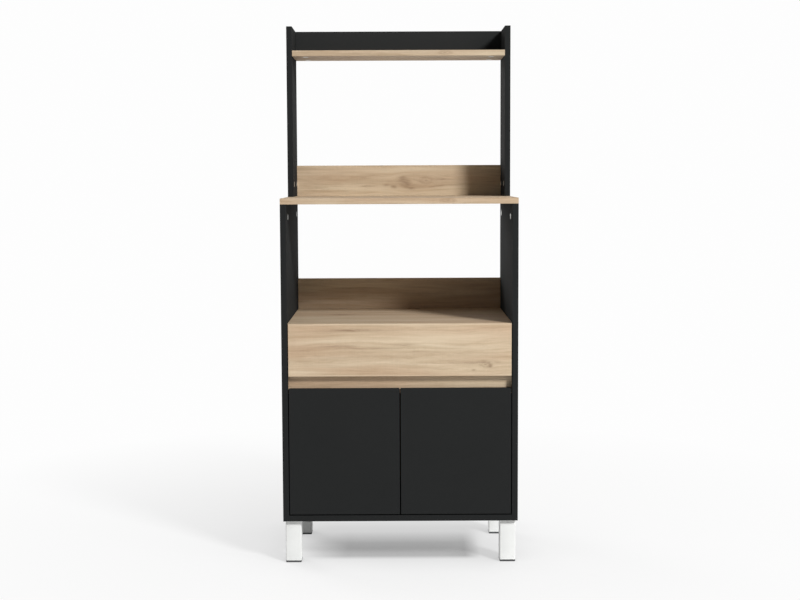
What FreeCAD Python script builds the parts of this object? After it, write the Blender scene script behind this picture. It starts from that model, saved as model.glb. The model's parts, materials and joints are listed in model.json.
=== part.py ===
# Free-standing microwave stand: a cupboard with one drawer, an open bay and a shallow hutch above it.
# Frame: millimetres, +Z up, X to the right, the front at -Y; origin on the floor under the middle.
import FreeCAD, Part
import os
import re
import Sketcher

Vector = FreeCAD.Vector
os.makedirs("parts", exist_ok=True)
doc = FreeCAD.newDocument("MicrowaveStand")

# ---------------------------------------------------------------- driving dimensions
DIMENSIONS = [
    # overall
    ("width", 600), ("depth", 400), ("board", 15), ("edgeRound", 0.6),
    ("sideHeight", 810), ("cabinetHeight", 508), ("hutchHeight", 455), ("hutchDepth", 150),
    ("lowSplashHeight", 85), ("midSplashHeight", 85), ("topRailHeight", 64),
    # legs
    ("legHeight", 105), ("padHeight", 5), ("legSize", 40), ("legWall", 1.5), ("legPlate", 62),
    ("legPlateThickness", 2), ("legInset", 5), ("legSetback", 12), ("rearLegInset", 14.5),
    ("rearLegSetback", 274), ("padPlug", 12), ("padPlay", 0.3),
    # fronts
    ("drawerFrontHeight", 134), ("drawerSideGap", 2), ("drawerTopGap", 2), ("fingerGap", 32),
    ("fingerRecess", 18), ("railOverlap", 15), ("doorSideGap", 2.5), ("doorMiddleGap", 3),
    ("doorBottomGap", 3), ("bumperDiameter", 8), ("bumperThickness", 2.5), ("bumperInset", 20),
    ("bumperEdge", 1.5), ("bumperTop", 4.8),
    # thin back and drawer bottom
    ("hardboard", 3), ("grooveDepth", 6), ("grooveClearance", 0.2), ("backInset", 12),
    # drawer box
    ("drawerBoard", 12), ("drawerRearGap", 20), ("drawerSideHeight", 86), ("drawerLift", 5),
    ("bottomLift", 10),
    # roller runners
    ("runnerGap", 12.5), ("runnerSetback", 4), ("runnerLift", 1.8),
    ("steel", 1.2), ("channelWidth", 10), ("rollerDiameter", 20), ("rollerWidth", 5),
    ("rollerPlay", 0.35), ("rollerEnd", 12), ("flangeRise", 0.6), ("flangeGap", 2.3),
    ("axleDiameter", 4), ("axleFit", 0.05), ("axleShoulder", 1.7), ("axleHead", 0.8),
    ("axleHeadDiameter", 7), ("rollerSide", 0.3), ("rollerEase", 0.8), ("rollerRecess", 1),
    ("rollerRim", 1.6), ("rollerHub", 1.6), ("rollerDraft", 0.8), ("rollerHole", 2),
    ("rollerHoleRing", 12), ("flangeRelief", 1.4),
    # knock-down fittings
    ("camDiameter", 15), ("camDepth", 12.5), ("camSetback", 34), ("boltThread", 11),
    ("boltDiameter", 5), ("boltTip", 3.8), ("boltEase", 1), ("boltNeck", 6), ("boltWaist", 3.2),
    ("boltWaistLength", 9), ("boltHead", 6.6), ("boltHeadLength", 4), ("boltHeadTip", 4.4),
    ("camMouth", 7.8), ("camMouthReach", 5), ("camSlotArm", 3), ("camSlotHalf", 0.7),
    ("camSlotDepth", 1.6), ("channelDiameter", 8), ("drawerCamDiameter", 12),
    ("drawerCamDepth", 10.5), ("drawerCamSetback", 24), ("dowelDiameter", 8),
    ("dowelShallow", 10), ("dowelDeep", 20), ("dowelEase", 1), ("fitPlay", 0.1),
    # screws
    ("screwDiameter", 3.5), ("screwLength", 11), ("screwHead", 7), ("screwHeadHeight", 0.8),
    ("screwHeadEase", 0.6), ("screwPoint", 3.5), ("screwTip", 0.8), ("longScrewLength", 35),
    ("holePlay", 0.15),
    # places of the fittings
    ("shelfCamFront", 65), ("shelfCamRear", 35), ("shelfDowelFront", 100), ("shelfDowelRear", 70),
    ("hutchCamFront", 37), ("hutchCamRear", 22), ("hutchDowelFront", 60), ("hutchDowelRear", 50),
    ("floorCamFront", 95), ("floorCamRear", 60), ("floorDowel", 30), ("uprightCam", 25),
    ("uprightDowel", 50), ("railCam", 42), ("railDowel", 15), ("drawerCamLow", 28),
    ("drawerCamHigh", 13), ("drawerDowel", 52), ("backScrewLow", 35), ("backScrewHigh", 18),
    ("runnerScrewFirst", 45), ("runnerScrewMiddle", 160), ("runnerScrewLast", 30),
    ("drawerRunnerSetback", 1), ("drawerScrewRise", 5),
    # inset cup hinges
    ("hingeInset", 70), ("cupDiameter", 35), ("cupDepth", 11.5), ("cupEdge", 4), ("cupWall", 0.8),
    ("cupRim", 0.6), ("earSpan", 60), ("earWidth", 14), ("earThickness", 1.2), ("earScrew", 24),
    ("hingePlateThickness", 2.5), ("hingePlateSetback", 52), ("hingePlateWidth", 32),
    ("hingePlateHeight", 52), ("hingePlateScrew", 16), ("armHeight", 12), ("armSlot", 6.4),
    ("armThickness", 7), ("armEnd", 74), ("armRoot", 34), ("armScrewSetback", 60),
    ("armShoulder", 10.5), ("pivotIn", 31.3), ("pivotBack", 13), ("pivotNose", 2.6),
    ("noseHalf", 2.2), ("noseSlant", 1.4), ("noseBack", 1), ("forkReach", 7.8), ("forkDepth", 5.2),
    ("pivotPin", 2), ("linkHeight", 5.8),
    ("linkEye", 3.6), ("linkThickness", 2.2), ("linkBendIn", 24), ("linkBendBack", 7.6),
    ("linkTipIn", 13.4), ("linkTipBack", 7.4), ("linkEndIn", 11.8), ("linkEndBack", 9.2),
]
sheet = doc.addObject("Spreadsheet::Sheet", "dims")
for row, (alias, value) in enumerate(DIMENSIONS, start=1):
    sheet.set(f"A{row}", alias)
    sheet.set(f"B{row}", str(value))
    sheet.setAlias(f"B{row}", alias)
ALIASES = {alias for alias, value in DIMENSIONS}

# Faces and levels of the stand, as expressions of the dimensions above (left half; the right mirrors it).
INNER = "(-width / 2 + board)"
FRONT = "(-depth / 2)"
BACK = "(depth / 2)"
BASE = "(legHeight + padHeight)"
FLOOR_TOP = f"({BASE} + board)"
CABINET_TOP = f"({BASE} + cabinetHeight)"
CABINET_UNDER = f"({CABINET_TOP} - board)"
SHELF_UNDER = f"({BASE} + sideHeight)"
SHELF_TOP = f"({SHELF_UNDER} + board)"
HUTCH_FRONT = f"({BACK} - hutchDepth)"
HUTCH_TOP = f"({SHELF_TOP} + hutchHeight)"
TOP_SHELF_TOP = f"({HUTCH_TOP} - topRailHeight)"
TOP_SHELF_UNDER = f"({TOP_SHELF_TOP} - board)"
FRONT_BACK_FACE = f"({FRONT} + board)"
DRAWER_BOTTOM = f"({CABINET_TOP} - drawerFrontHeight)"
DOOR_TOP = f"({DRAWER_BOTTOM} - fingerGap)"
DOOR_BOTTOM = f"({FLOOR_TOP} + doorBottomGap)"
DOOR_OUT = f"({INNER} + doorSideGap)"
DOOR_IN = "(-doorMiddleGap / 2)"
RAIL_FRONT = f"({FRONT} + fingerRecess)"
RAIL_BOTTOM = f"({DOOR_TOP} - railOverlap)"
RAIL_TOP = f"({DRAWER_BOTTOM} + railOverlap)"
BOX_OUT = f"({INNER} + runnerGap)"
BOX_IN = f"({BOX_OUT} + drawerBoard)"
PANEL_BACK = f"({BACK} - backInset)"
BOX_BACK = f"({PANEL_BACK} - hardboard - drawerRearGap)"
BOX_LENGTH = f"({BOX_BACK} - {FRONT_BACK_FACE})"
BOX_BOTTOM = f"({RAIL_TOP} + drawerLift)"
BOX_TOP = f"({BOX_BOTTOM} + drawerSideHeight)"
RUNNER_FRONT = f"({FRONT_BACK_FACE} + runnerSetback)"
RUNNER_BOTTOM = f"({RAIL_TOP} + runnerLift)"
CHANNEL_HEIGHT = "(rollerDiameter + 2 * rollerPlay + 2 * steel)"
FLANGE_UNDER = f"({RUNNER_BOTTOM} + {CHANNEL_HEIGHT} + flangeRise)"
GROOVE = "(hardboard + 2 * grooveClearance)"
PANEL_TONGUE = "(grooveDepth - grooveClearance)"
HINGE_LEVELS = [f"({DOOR_BOTTOM} + hingeInset)", f"({DOOR_TOP} - hingeInset)"]

PLANES = {"x": "YZ_Plane", "y": "XZ_Plane", "z": "XY_Plane"}
OTHER_AXES = {"x": "yz", "y": "xz", "z": "xy"}
DIRECTIONS = {"x": Vector(1, 0, 0), "y": Vector(0, 1, 0), "z": Vector(0, 0, 1)}


def bind(thing, path, expression):
    """Tie one property to an expression of the spreadsheet's names."""
    def named(word):
        return "dims." + word.group(0) if word.group(0) in ALIASES else word.group(0)
    thing.setExpression(path, re.sub(r"[A-Za-z]\w*", named, expression))


def rectangle(low, high):
    return [low, (high[0], low[1]), high, (low[0], high[1])]


class Piece:
    """One PartDesign body. Places are given in the stand's frame; the body starts at its origin."""

    def __init__(self, label, origin=("0", "0", "0"), paired=False):
        self.body = doc.addObject("PartDesign::Body", label)
        self.body.Label = label
        self.paired = paired
        self.origin = dict(zip("xyz", origin))
        for axis in "xyz":
            bind(self.body, f"Placement.Base.{axis}", self.origin[axis])

    def local(self, axis, place):
        return f"{place} - ({self.origin[axis]})"

    def sketch(self, axis, level):
        """A sketch across one axis, at a level along it."""
        plane = next(item for item in self.body.Origin.OriginFeatures if item.Role == PLANES[axis])
        sketch = self.body.newObject("Sketcher::SketchObject", "Sketch")
        sketch.AttachmentSupport = (plane, [""])
        sketch.MapMode = "FlatFace"
        offset = self.local(axis, level)
        bind(sketch, "AttachmentOffset.Base.z", f"-({offset})" if axis == "y" else offset)
        return sketch

    def fix(self, sketch, geometry, point, axes, place):
        for kind, axis, value in zip(("DistanceX", "DistanceY"), axes, place):
            index = sketch.addConstraint(Sketcher.Constraint(kind, -1, 1, geometry, point, 1.0))
            bind(sketch, f"Constraints[{index}]", self.local(axis, value))

    def draw(self, sketch, axis, outline=(), circles=()):
        """A closed outline and any circles, every point fixed by expressions."""
        axes = OTHER_AXES[axis]
        count = len(outline)
        for index in range(count):
            start = Vector(index, index * index, 0)
            following = (index + 1) % count
            sketch.addGeometry(Part.LineSegment(start, Vector(following, following ** 2, 0)), False)
        for index in range(count):
            following = (index + 1) % count
            sketch.addConstraint(Sketcher.Constraint("Coincident", index, 2, following, 1))
            self.fix(sketch, index, 1, axes, outline[index])
        for across, along, diameter in circles:
            geometry = sketch.addGeometry(Part.Circle(Vector(0, 0, 0), Vector(0, 0, 1), 1.0), False)
            self.fix(sketch, geometry, 3, axes, (across, along))
            index = sketch.addConstraint(Sketcher.Constraint("Diameter", geometry, 2.0))
            bind(sketch, f"Constraints[{index}]", diameter)

    def pad(self, axis, level, length, outline=(), circles=()):
        """Material from a level, towards the positive axis."""
        sketch = self.sketch(axis, level)
        self.draw(sketch, axis, outline, circles)
        pad = self.body.newObject("PartDesign::Pad", "Pad")
        pad.Profile = sketch
        bind(pad, "Length", length)
        pad.Reversed = axis == "y"
        return self

    def cut(self, axis, level, direction, depth, outline=(), circles=()):
        """A pocket or a set of holes from a level, along the axis in the given direction."""
        sketch = self.sketch(axis, level)
        self.draw(sketch, axis, outline, circles)
        pocket = self.body.newObject("PartDesign::Pocket", "Pocket")
        pocket.Profile = sketch
        bind(pocket, "Length", depth)
        pocket.Reversed = (direction < 0) if axis == "y" else (direction > 0)
        return self

    def turn(self, profile):
        """A turned solid about the X axis: the profile is (along X, radius)."""
        sketch = self.sketch("y", "0")
        self.draw(sketch, "y", profile)
        turned = self.body.newObject("PartDesign::Revolution", "Revolution")
        turned.Profile = sketch
        turned.ReferenceAxis = (sketch, ["H_Axis"])
        turned.Angle = 360
        return self

    def roundEdges(self, radius):
        fillet = self.body.newObject("PartDesign::Fillet", "Fillet")
        fillet.Base = (fillet.BaseFeature, [""])
        fillet.UseAllEdges = True
        bind(fillet, "Radius", radius)
        return self


nodes = {}


def keep(label, thing):
    nodes[label] = thing
    return thing


def makeBoard(label, low, high, thin, paired=False):
    """A flat board between two corners, padded across its thickness, with its edges eased."""
    piece = Piece(label, low, paired)
    spans = {axis: (low["xyz".index(axis)], high["xyz".index(axis)]) for axis in "xyz"}
    first, second = OTHER_AXES[thin]
    outline = rectangle((spans[first][0], spans[second][0]), (spans[first][1], spans[second][1]))
    piece.pad(thin, spans[thin][0], f"{spans[thin][1]} - ({spans[thin][0]})", outline)
    piece.roundEdges("edgeRound")
    keep(label, piece.body)
    return piece


def makeMirror(label, source):
    """The right-hand twin of a left-hand piece."""
    twin = doc.addObject("Part::Mirroring", label)
    twin.Label = label
    twin.Source = nodes[source]
    twin.Normal = Vector(1, 0, 0)
    return keep(label, twin)


def makeGroup(label, master, places):
    """One node of identical loose pieces; each place is (x, y, z, X direction, Z direction)."""
    copies = []
    for x, y, z, along, outward in places:
        copy = doc.addObject("App::Link", f"{label}_copy")
        copy.LinkedObject = master.body
        copy.Placement = FreeCAD.Placement(
            Vector(), FreeCAD.Rotation(along, outward.cross(along), outward, "ZXY"))
        for axis, place in zip("xyz", (x, y, z)):
            bind(copy, f"Placement.Base.{axis}", place)
        copies.append(copy)
    group = doc.addObject("Part::Compound", label)
    group.Label = label
    group.Links = copies
    return keep(label, group)


def mirrorX(place, side):
    return place if side == 1 else f"-({place})"


# ---------------------------------------------------------------- boards
def makeBoards():
    """The cut boards of the stand; left-hand panels are mirrored later, once they are drilled."""
    left = "(-width / 2)"
    right = "(width / 2)"
    far = f"(-({INNER}))"
    splashFront = f"({BACK} - board)"
    boards = {
        "side_panel_left": makeBoard(
            "side_panel_left", (left, FRONT, BASE), (INNER, BACK, SHELF_UNDER), "x", paired=True),
        "upper_side_left": makeBoard(
            "upper_side_left", (left, HUTCH_FRONT, SHELF_TOP), (INNER, BACK, HUTCH_TOP), "x", paired=True),
        "mid_shelf": makeBoard(
            "mid_shelf", (left, FRONT, SHELF_UNDER), (right, BACK, SHELF_TOP), "z"),
        "bottom_panel": makeBoard(
            "bottom_panel", (INNER, FRONT, BASE), (far, BACK, FLOOR_TOP), "z"),
        "cabinet_top": makeBoard(
            "cabinet_top", (INNER, f"({FRONT_BACK_FACE} + drawerTopGap)", CABINET_UNDER),
            (far, BACK, CABINET_TOP), "z"),
        "top_shelf": makeBoard(
            "top_shelf", (INNER, HUTCH_FRONT, TOP_SHELF_UNDER), (far, BACK, TOP_SHELF_TOP), "z"),
        "top_back_panel": makeBoard(
            "top_back_panel", (INNER, splashFront, TOP_SHELF_TOP), (far, BACK, HUTCH_TOP), "y"),
        "mid_backsplash": makeBoard(
            "mid_backsplash", (INNER, splashFront, SHELF_TOP),
            (far, BACK, f"({SHELF_TOP} + midSplashHeight)"), "y"),
        "low_backsplash": makeBoard(
            "low_backsplash", (INNER, splashFront, CABINET_TOP),
            (far, BACK, f"({CABINET_TOP} + lowSplashHeight)"), "y"),
        "grip_rail": makeBoard(
            "grip_rail", (INNER, RAIL_FRONT, RAIL_BOTTOM), (far, f"({RAIL_FRONT} + board)", RAIL_TOP), "y"),
    }
    cutBackGrooves(boards)
    return boards


def cutBackGrooves(boards):
    """Grooves round the cupboard for the thin back panel."""
    near = f"({PANEL_BACK} + grooveClearance)"
    start = f"({near} - {GROOVE})"
    far = f"(-({INNER}))"
    boards["side_panel_left"].cut(
        "x", INNER, -1, "grooveDepth",
        rectangle((start, f"({FLOOR_TOP} - grooveDepth)"), (near, f"({CABINET_UNDER} + grooveDepth)")))
    boards["bottom_panel"].cut("z", FLOOR_TOP, -1, "grooveDepth", rectangle((INNER, start), (far, near)))
    boards["cabinet_top"].cut("z", CABINET_UNDER, 1, "grooveDepth", rectangle((INNER, start), (far, near)))


def makeCabinetBack():
    """The thin back panel, held in the grooves on all four sides."""
    low = (f"({INNER} - {PANEL_TONGUE})", f"({PANEL_BACK} - hardboard)", f"({FLOOR_TOP} - {PANEL_TONGUE})")
    high = (f"(-{low[0]})", PANEL_BACK, f"({CABINET_UNDER} + {PANEL_TONGUE})")
    piece = Piece("cabinet_back", low)
    piece.pad("y", low[1], "hardboard", rectangle((low[0], low[2]), (high[0], high[2])))
    keep("cabinet_back", piece.body)


# ---------------------------------------------------------------- knock-down fittings
def makeCam(label, diameter, depth, middle):
    """A cam lock: its slotted face looks along +Z, and the bolt's head enters it from +X."""
    cam = Piece(label)
    radius = f"({diameter} / 2)"
    cam.pad("z", f"-({depth})", depth, circles=[("0", "0", diameter)])
    cam.cut("x", radius, -1, f"{radius} + camMouthReach", circles=[("0", f"-({middle})", "camMouth")])
    arm, half = "camSlotArm", "camSlotHalf"
    corners = [(arm, f"-{half}"), (arm, half), (half, half), (half, arm), (f"-{half}", arm),
               (f"-{half}", half), (f"-{arm}", half), (f"-{arm}", f"-{half}"), (f"-{half}", f"-{half}"),
               (f"-{half}", f"-{arm}"), (half, f"-{arm}"), (half, f"-{half}")]
    cam.cut("z", "0", -1, "camSlotDepth", corners)
    return cam


def makeBolt(label, setback):
    """A cam bolt along X: its thread points to +X from the joint, its head sits in the cam."""
    tip, waist = "boltThread", "boltWaist / 2"
    waistEnd = f"-({setback}) + boltWaistLength"
    headFront, headBack = f"-({setback}) + boltHeadLength / 2", f"-({setback}) - boltHeadLength / 2"
    profile = [(tip, "0"), (tip, "boltTip / 2"), (f"{tip} - boltEase", "boltDiameter / 2"),
               ("0", "boltDiameter / 2"), ("0", "boltNeck / 2"), (f"{waistEnd} + boltEase", "boltNeck / 2"),
               (waistEnd, waist), (headFront, waist), (headFront, "boltHead / 2"),
               (headBack, "boltHead / 2"), (f"{headBack} - boltEase", "boltHeadTip / 2"),
               (f"{headBack} - boltEase", "0")]
    return Piece(label).turn(profile)


def makeDowel():
    """A chamfered wooden dowel along X, across the joint at X = 0."""
    ease, radius = "dowelEase", "dowelDiameter / 2"
    return Piece("dowel_master").turn([
        ("-dowelDeep", "0"), ("-dowelDeep", f"{radius} - {ease}"), (f"-dowelDeep + {ease}", radius),
        (f"dowelShallow - {ease}", radius), ("dowelShallow", f"{radius} - {ease}"), ("dowelShallow", "0")])


def makeScrew(label, length):
    """A flat-headed screw along +X; X = 0 is the face under its head."""
    radius = "screwDiameter / 2"
    return Piece(label).turn([
        ("-screwHeadHeight", "0"), ("-screwHeadHeight", "screwHead / 2 - screwHeadEase"),
        ("0", "screwHead / 2"), ("0", radius), (f"{length} - screwPoint", radius),
        (length, "screwTip / 2"), (length, "0")])


UP = DIRECTIONS["z"]
screwMasters = {}


def drillScrews(piece, axis, level, direction, spots, depth):
    """Clearance holes for screws, at places across the axis."""
    piece.cut(axis, level, direction, depth,
              circles=[spot + ("screwDiameter + 2 * holePlay",) for spot in spots])


def makeScrews(label, size, places):
    """One node of screws; each place gives the seat under the head and the way they are driven."""
    if size not in screwMasters:
        screwMasters[size] = makeScrew(f"{size}_screw_master", {"short": "screwLength",
                                                                "long": "longScrewLength"}[size])
    makeGroup(label, screwMasters[size], places)


fittings = {"cam_locks": [], "cam_bolts": [], "dowels": [],
            "drawer_cams": [], "drawer_cam_bolts": [], "drawer_dowels": []}


def place(values, along, outward):
    return (values["x"], values["y"], values["z"], along, outward)


def joinCams(camBoard, boltBoard, axis, sign, joint, face, outward, middle, spots, drawer=False):
    """Cams let into one board's face, with bolts through its end into the other board.

    axis, sign and joint give the bolts' direction and the plane where the boards meet; face and
    outward give the side that the cams show on, and middle is the board's mid-plane along it.
    """
    cams, bolts = ("drawer_cams", "drawer_cam_bolts") if drawer else ("cam_locks", "cam_bolts")
    diameter, depth, setback, thickness = (
        ("drawerCamDiameter", "drawerCamDepth", "drawerCamSetback", "drawerBoard") if drawer
        else ("camDiameter", "camDepth", "camSetback", "board"))
    third = next(letter for letter in "xyz" if letter not in (axis, face))
    for side in (1, -1):
        turned = side if axis == "x" else 1
        facing = outward * (side if face == "x" else 1)
        centres = []
        for spot in spots:
            values = {axis: f"({joint} - ({sign}) * {setback})", face: middle, third: spot}
            values["x"] = mirrorX(values["x"], side)
            centres.append(values)
        plane = mirrorX(joint, side) if axis == "x" else joint
        faceLevel = f"({mirrorX(middle, side) if face == 'x' else middle} + ({facing}) * {thickness} / 2)"
        across = [tuple(values[letter] for letter in OTHER_AXES[face]) for values in centres]
        through = [tuple(values[letter] for letter in OTHER_AXES[axis]) for values in centres]
        if side == 1 or not camBoard.paired:
            camBoard.cut(face, faceLevel, -facing, f"{depth} + fitPlay",
                         circles=[spot + (f"{diameter} + 2 * fitPlay",) for spot in across])
            camBoard.cut(axis, plane, -sign * turned, setback,
                         circles=[spot + ("channelDiameter",) for spot in through])
        if side == 1 or not boltBoard.paired:
            boltBoard.cut(axis, plane, sign * turned, "boltThread + fitPlay",
                          circles=[spot + ("boltDiameter + 2 * fitPlay",) for spot in through])
        along = DIRECTIONS[axis] * (sign * turned)
        upward = DIRECTIONS[face] * facing
        for values in centres:
            fittings[cams].append(place(dict(values, **{face: faceLevel}), along, upward))
            fittings[bolts].append(place(dict(values, **{axis: plane}), along, upward))


def joinDowels(deepBoard, shallowBoard, axis, sign, joint, face, middle, spots, group="dowels"):
    """Dowels deep in one board's end and shallow in the other board's face."""
    third = next(letter for letter in "xyz" if letter not in (axis, face))
    for side in (1, -1):
        turned = side if axis == "x" else 1
        plane = mirrorX(joint, side) if axis == "x" else joint
        centres = []
        for spot in spots:
            values = {axis: joint, face: middle, third: spot}
            values["x"] = mirrorX(values["x"], side)
            centres.append(values)
        through = [tuple(values[letter] for letter in OTHER_AXES[axis]) + ("dowelDiameter + 2 * fitPlay",)
                   for values in centres]
        if side == 1 or not deepBoard.paired:
            deepBoard.cut(axis, plane, -sign * turned, "dowelDeep + fitPlay", circles=through)
        if side == 1 or not shallowBoard.paired:
            shallowBoard.cut(axis, plane, sign * turned, "dowelShallow + fitPlay", circles=through)
        for values in centres:
            fittings[group].append(place(values, DIRECTIONS[axis] * (sign * turned), DIRECTIONS[face]))


def joinBoards(boards):
    """Every board-to-board joint of the stand."""
    side, upper = boards["side_panel_left"], boards["upper_side_left"]
    shelf = boards["mid_shelf"]
    panelMiddle = f"({INNER} - board / 2)"
    joinCams(side, shelf, "z", 1, SHELF_UNDER, "x", 1, panelMiddle,
             [f"{FRONT} + shelfCamFront", f"{BACK} - shelfCamRear"])
    joinDowels(side, shelf, "z", 1, SHELF_UNDER, "x", panelMiddle,
               [f"{FRONT} + shelfDowelFront", f"{BACK} - shelfDowelRear"])
    joinCams(upper, shelf, "z", -1, SHELF_TOP, "x", 1, panelMiddle,
             [f"{HUTCH_FRONT} + hutchCamFront", f"{BACK} - hutchCamRear"])
    joinDowels(upper, shelf, "z", -1, SHELF_TOP, "x", panelMiddle,
               [f"{HUTCH_FRONT} + hutchDowelFront", f"{BACK} - hutchDowelRear"])
    for name, top in (("bottom_panel", FLOOR_TOP), ("cabinet_top", CABINET_TOP)):
        middle = f"({top} - board / 2)"
        joinCams(boards[name], side, "x", -1, INNER, "z", -1, middle,
                 [f"{FRONT} + floorCamFront", f"{BACK} - floorCamRear"])
        joinDowels(boards[name], side, "x", -1, INNER, "z", middle,
                   [f"{FRONT} + floorDowel", f"{BACK} - floorDowel"])
    middle = f"({TOP_SHELF_TOP} - board / 2)"
    joinCams(boards["top_shelf"], upper, "x", -1, INNER, "z", -1, middle,
             [f"{HUTCH_FRONT} + hutchCamFront", f"{BACK} - hutchCamRear"])
    joinDowels(boards["top_shelf"], upper, "x", -1, INNER, "z", middle,
               [f"{HUTCH_FRONT} + hutchDowelFront"])
    uprights = (("low_backsplash", side, CABINET_TOP), ("mid_backsplash", upper, SHELF_TOP),
                ("top_back_panel", upper, TOP_SHELF_TOP))
    for name, panel, bottom in uprights:
        middle = f"({BACK} - board / 2)"
        joinCams(boards[name], panel, "x", -1, INNER, "y", 1, middle, [f"({bottom} + uprightCam)"])
        joinDowels(boards[name], panel, "x", -1, INNER, "y", middle, [f"({bottom} + uprightDowel)"])
    middle = f"({RAIL_FRONT} + board / 2)"
    joinCams(boards["grip_rail"], side, "x", -1, INNER, "y", 1, middle,
             [f"({RAIL_BOTTOM} + railCam)"])
    joinDowels(boards["grip_rail"], side, "x", -1, INNER, "y", middle,
               [f"({RAIL_BOTTOM} + railDowel)"])


# ---------------------------------------------------------------- drawer
def makeDrawer():
    """The drawer box and its front."""
    far = f"(-({BOX_IN}))"
    sideBoard = makeBoard("drawer_side_left", (BOX_OUT, FRONT_BACK_FACE, BOX_BOTTOM),
                          (BOX_IN, BOX_BACK, BOX_TOP), "x", paired=True)
    back = makeBoard("drawer_back", (BOX_IN, f"({BOX_BACK} - drawerBoard)", BOX_BOTTOM),
                     (far, BOX_BACK, BOX_TOP), "y")
    frontOut = f"({INNER} + drawerSideGap)"
    front = makeBoard("drawer_front", (frontOut, FRONT, DRAWER_BOTTOM),
                      (f"(-{frontOut})", FRONT_BACK_FACE, CABINET_TOP), "y")
    under = f"({BOX_BOTTOM} + bottomLift)"
    over = f"({under} + {GROOVE})"
    rear = f"({BOX_BACK} - drawerBoard)"
    sideBoard.cut("x", BOX_IN, -1, "grooveDepth", rectangle((FRONT_BACK_FACE, under), (BOX_BACK, over)))
    back.cut("y", rear, 1, "grooveDepth", rectangle((BOX_IN, under), (far, over)))
    front.cut("y", FRONT_BACK_FACE, -1, "grooveDepth",
              rectangle((f"({BOX_IN} - grooveDepth)", under), (f"(-({BOX_IN} - grooveDepth))", over)))
    low = (f"({BOX_IN} - {PANEL_TONGUE})", f"({FRONT_BACK_FACE} - {PANEL_TONGUE})",
           f"({under} + grooveClearance)")
    bottom = Piece("drawer_bottom", low)
    bottom.pad("z", low[2], "hardboard",
               rectangle((low[0], low[1]), (f"(-{low[0]})", f"({rear} + {PANEL_TONGUE})")))
    keep("drawer_bottom", bottom.body)
    middle = f"({BOX_IN} - drawerBoard / 2)"
    joinCams(sideBoard, front, "y", -1, FRONT_BACK_FACE, "x", 1, middle,
             [f"({BOX_BOTTOM} + drawerCamLow)", f"({BOX_TOP} - drawerCamHigh)"], drawer=True)
    joinDowels(sideBoard, front, "y", -1, FRONT_BACK_FACE, "x", middle,
               [f"({BOX_BOTTOM} + drawerDowel)"], group="drawer_dowels")
    screwLevels = [f"({BOX_BOTTOM} + backScrewLow)", f"({BOX_TOP} - backScrewHigh)"]
    spots = [(f"({BOX_BACK} - drawerBoard / 2)", level) for level in screwLevels]
    drillScrews(sideBoard, "x", BOX_OUT, 1, spots, "drawerBoard")
    drillScrews(back, "x", BOX_IN, 1, spots, "longScrewLength - drawerBoard + fitPlay")
    drillScrews(back, "x", far, -1, spots, "longScrewLength - drawerBoard + fitPlay")
    makeScrews("drawer_back_screws", "long", [
        (mirrorX(BOX_OUT, side),) + spot + (Vector(side, 0, 0), UP) for spot in spots for side in (1, -1)])
    return sideBoard


# ---------------------------------------------------------------- drawer runners, as long as the box
FRONT_ROLLER_Y = f"({RUNNER_FRONT} + rollerEnd)"
FRONT_ROLLER_Z = f"({FLANGE_UNDER} - rollerPlay - rollerDiameter / 2)"
DRAWER_RUNNER_FRONT = f"({FRONT_BACK_FACE} + drawerRunnerSetback)"
REAR_ROLLER_Y = f"({DRAWER_RUNNER_FRONT} + {BOX_LENGTH} - rollerEnd)"
REAR_ROLLER_Z = f"({RUNNER_BOTTOM} + steel + rollerPlay + rollerDiameter / 2)"
ROLLER_STAND_OFF = "(steel + axleShoulder + rollerSide)"
RUNNER_SCREWS = ("runnerScrewFirst", "runnerScrewMiddle", f"({BOX_LENGTH} - runnerScrewLast)")


def makeCabinetRunner(sidePanel):
    """The fixed channel on the cupboard's side; its top flange stops short of the front roller."""
    top = f"({RUNNER_BOTTOM} + {CHANNEL_HEIGHT})"
    web, lip = f"({INNER} + steel)", f"({INNER} + channelWidth)"
    runner = Piece("cabinet_runner_left", (INNER, RUNNER_FRONT, RUNNER_BOTTOM))
    runner.pad("y", RUNNER_FRONT, BOX_LENGTH, [
        (INNER, RUNNER_BOTTOM), (lip, RUNNER_BOTTOM), (lip, f"{RUNNER_BOTTOM} + steel"),
        (web, f"{RUNNER_BOTTOM} + steel"), (web, f"{top} - steel"), (lip, f"{top} - steel"),
        (lip, top), (INNER, top)])
    runner.cut("z", top, -1, "steel", rectangle(
        (web, RUNNER_FRONT), (lip, f"({FRONT_ROLLER_Y} + rollerDiameter / 2 + flangeRelief)")))
    runner.cut("x", web, -1, "steel",
               circles=[(FRONT_ROLLER_Y, FRONT_ROLLER_Z, "axleDiameter + 2 * fitPlay")])
    middle = f"({RUNNER_BOTTOM} + {CHANNEL_HEIGHT} / 2)"
    spots = [(f"({RUNNER_FRONT} + {setback})", middle) for setback in RUNNER_SCREWS]
    drillScrews(runner, "x", web, -1, spots, "steel")
    drillScrews(sidePanel, "x", INNER, -1, spots, "screwLength - steel + fitPlay")
    makeScrews("runner_screws", "short", [
        (mirrorX(web, side),) + spot + (Vector(-side, 0, 0), UP) for spot in spots for side in (1, -1)])
    keep("cabinet_runner_left", runner.body)


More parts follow.
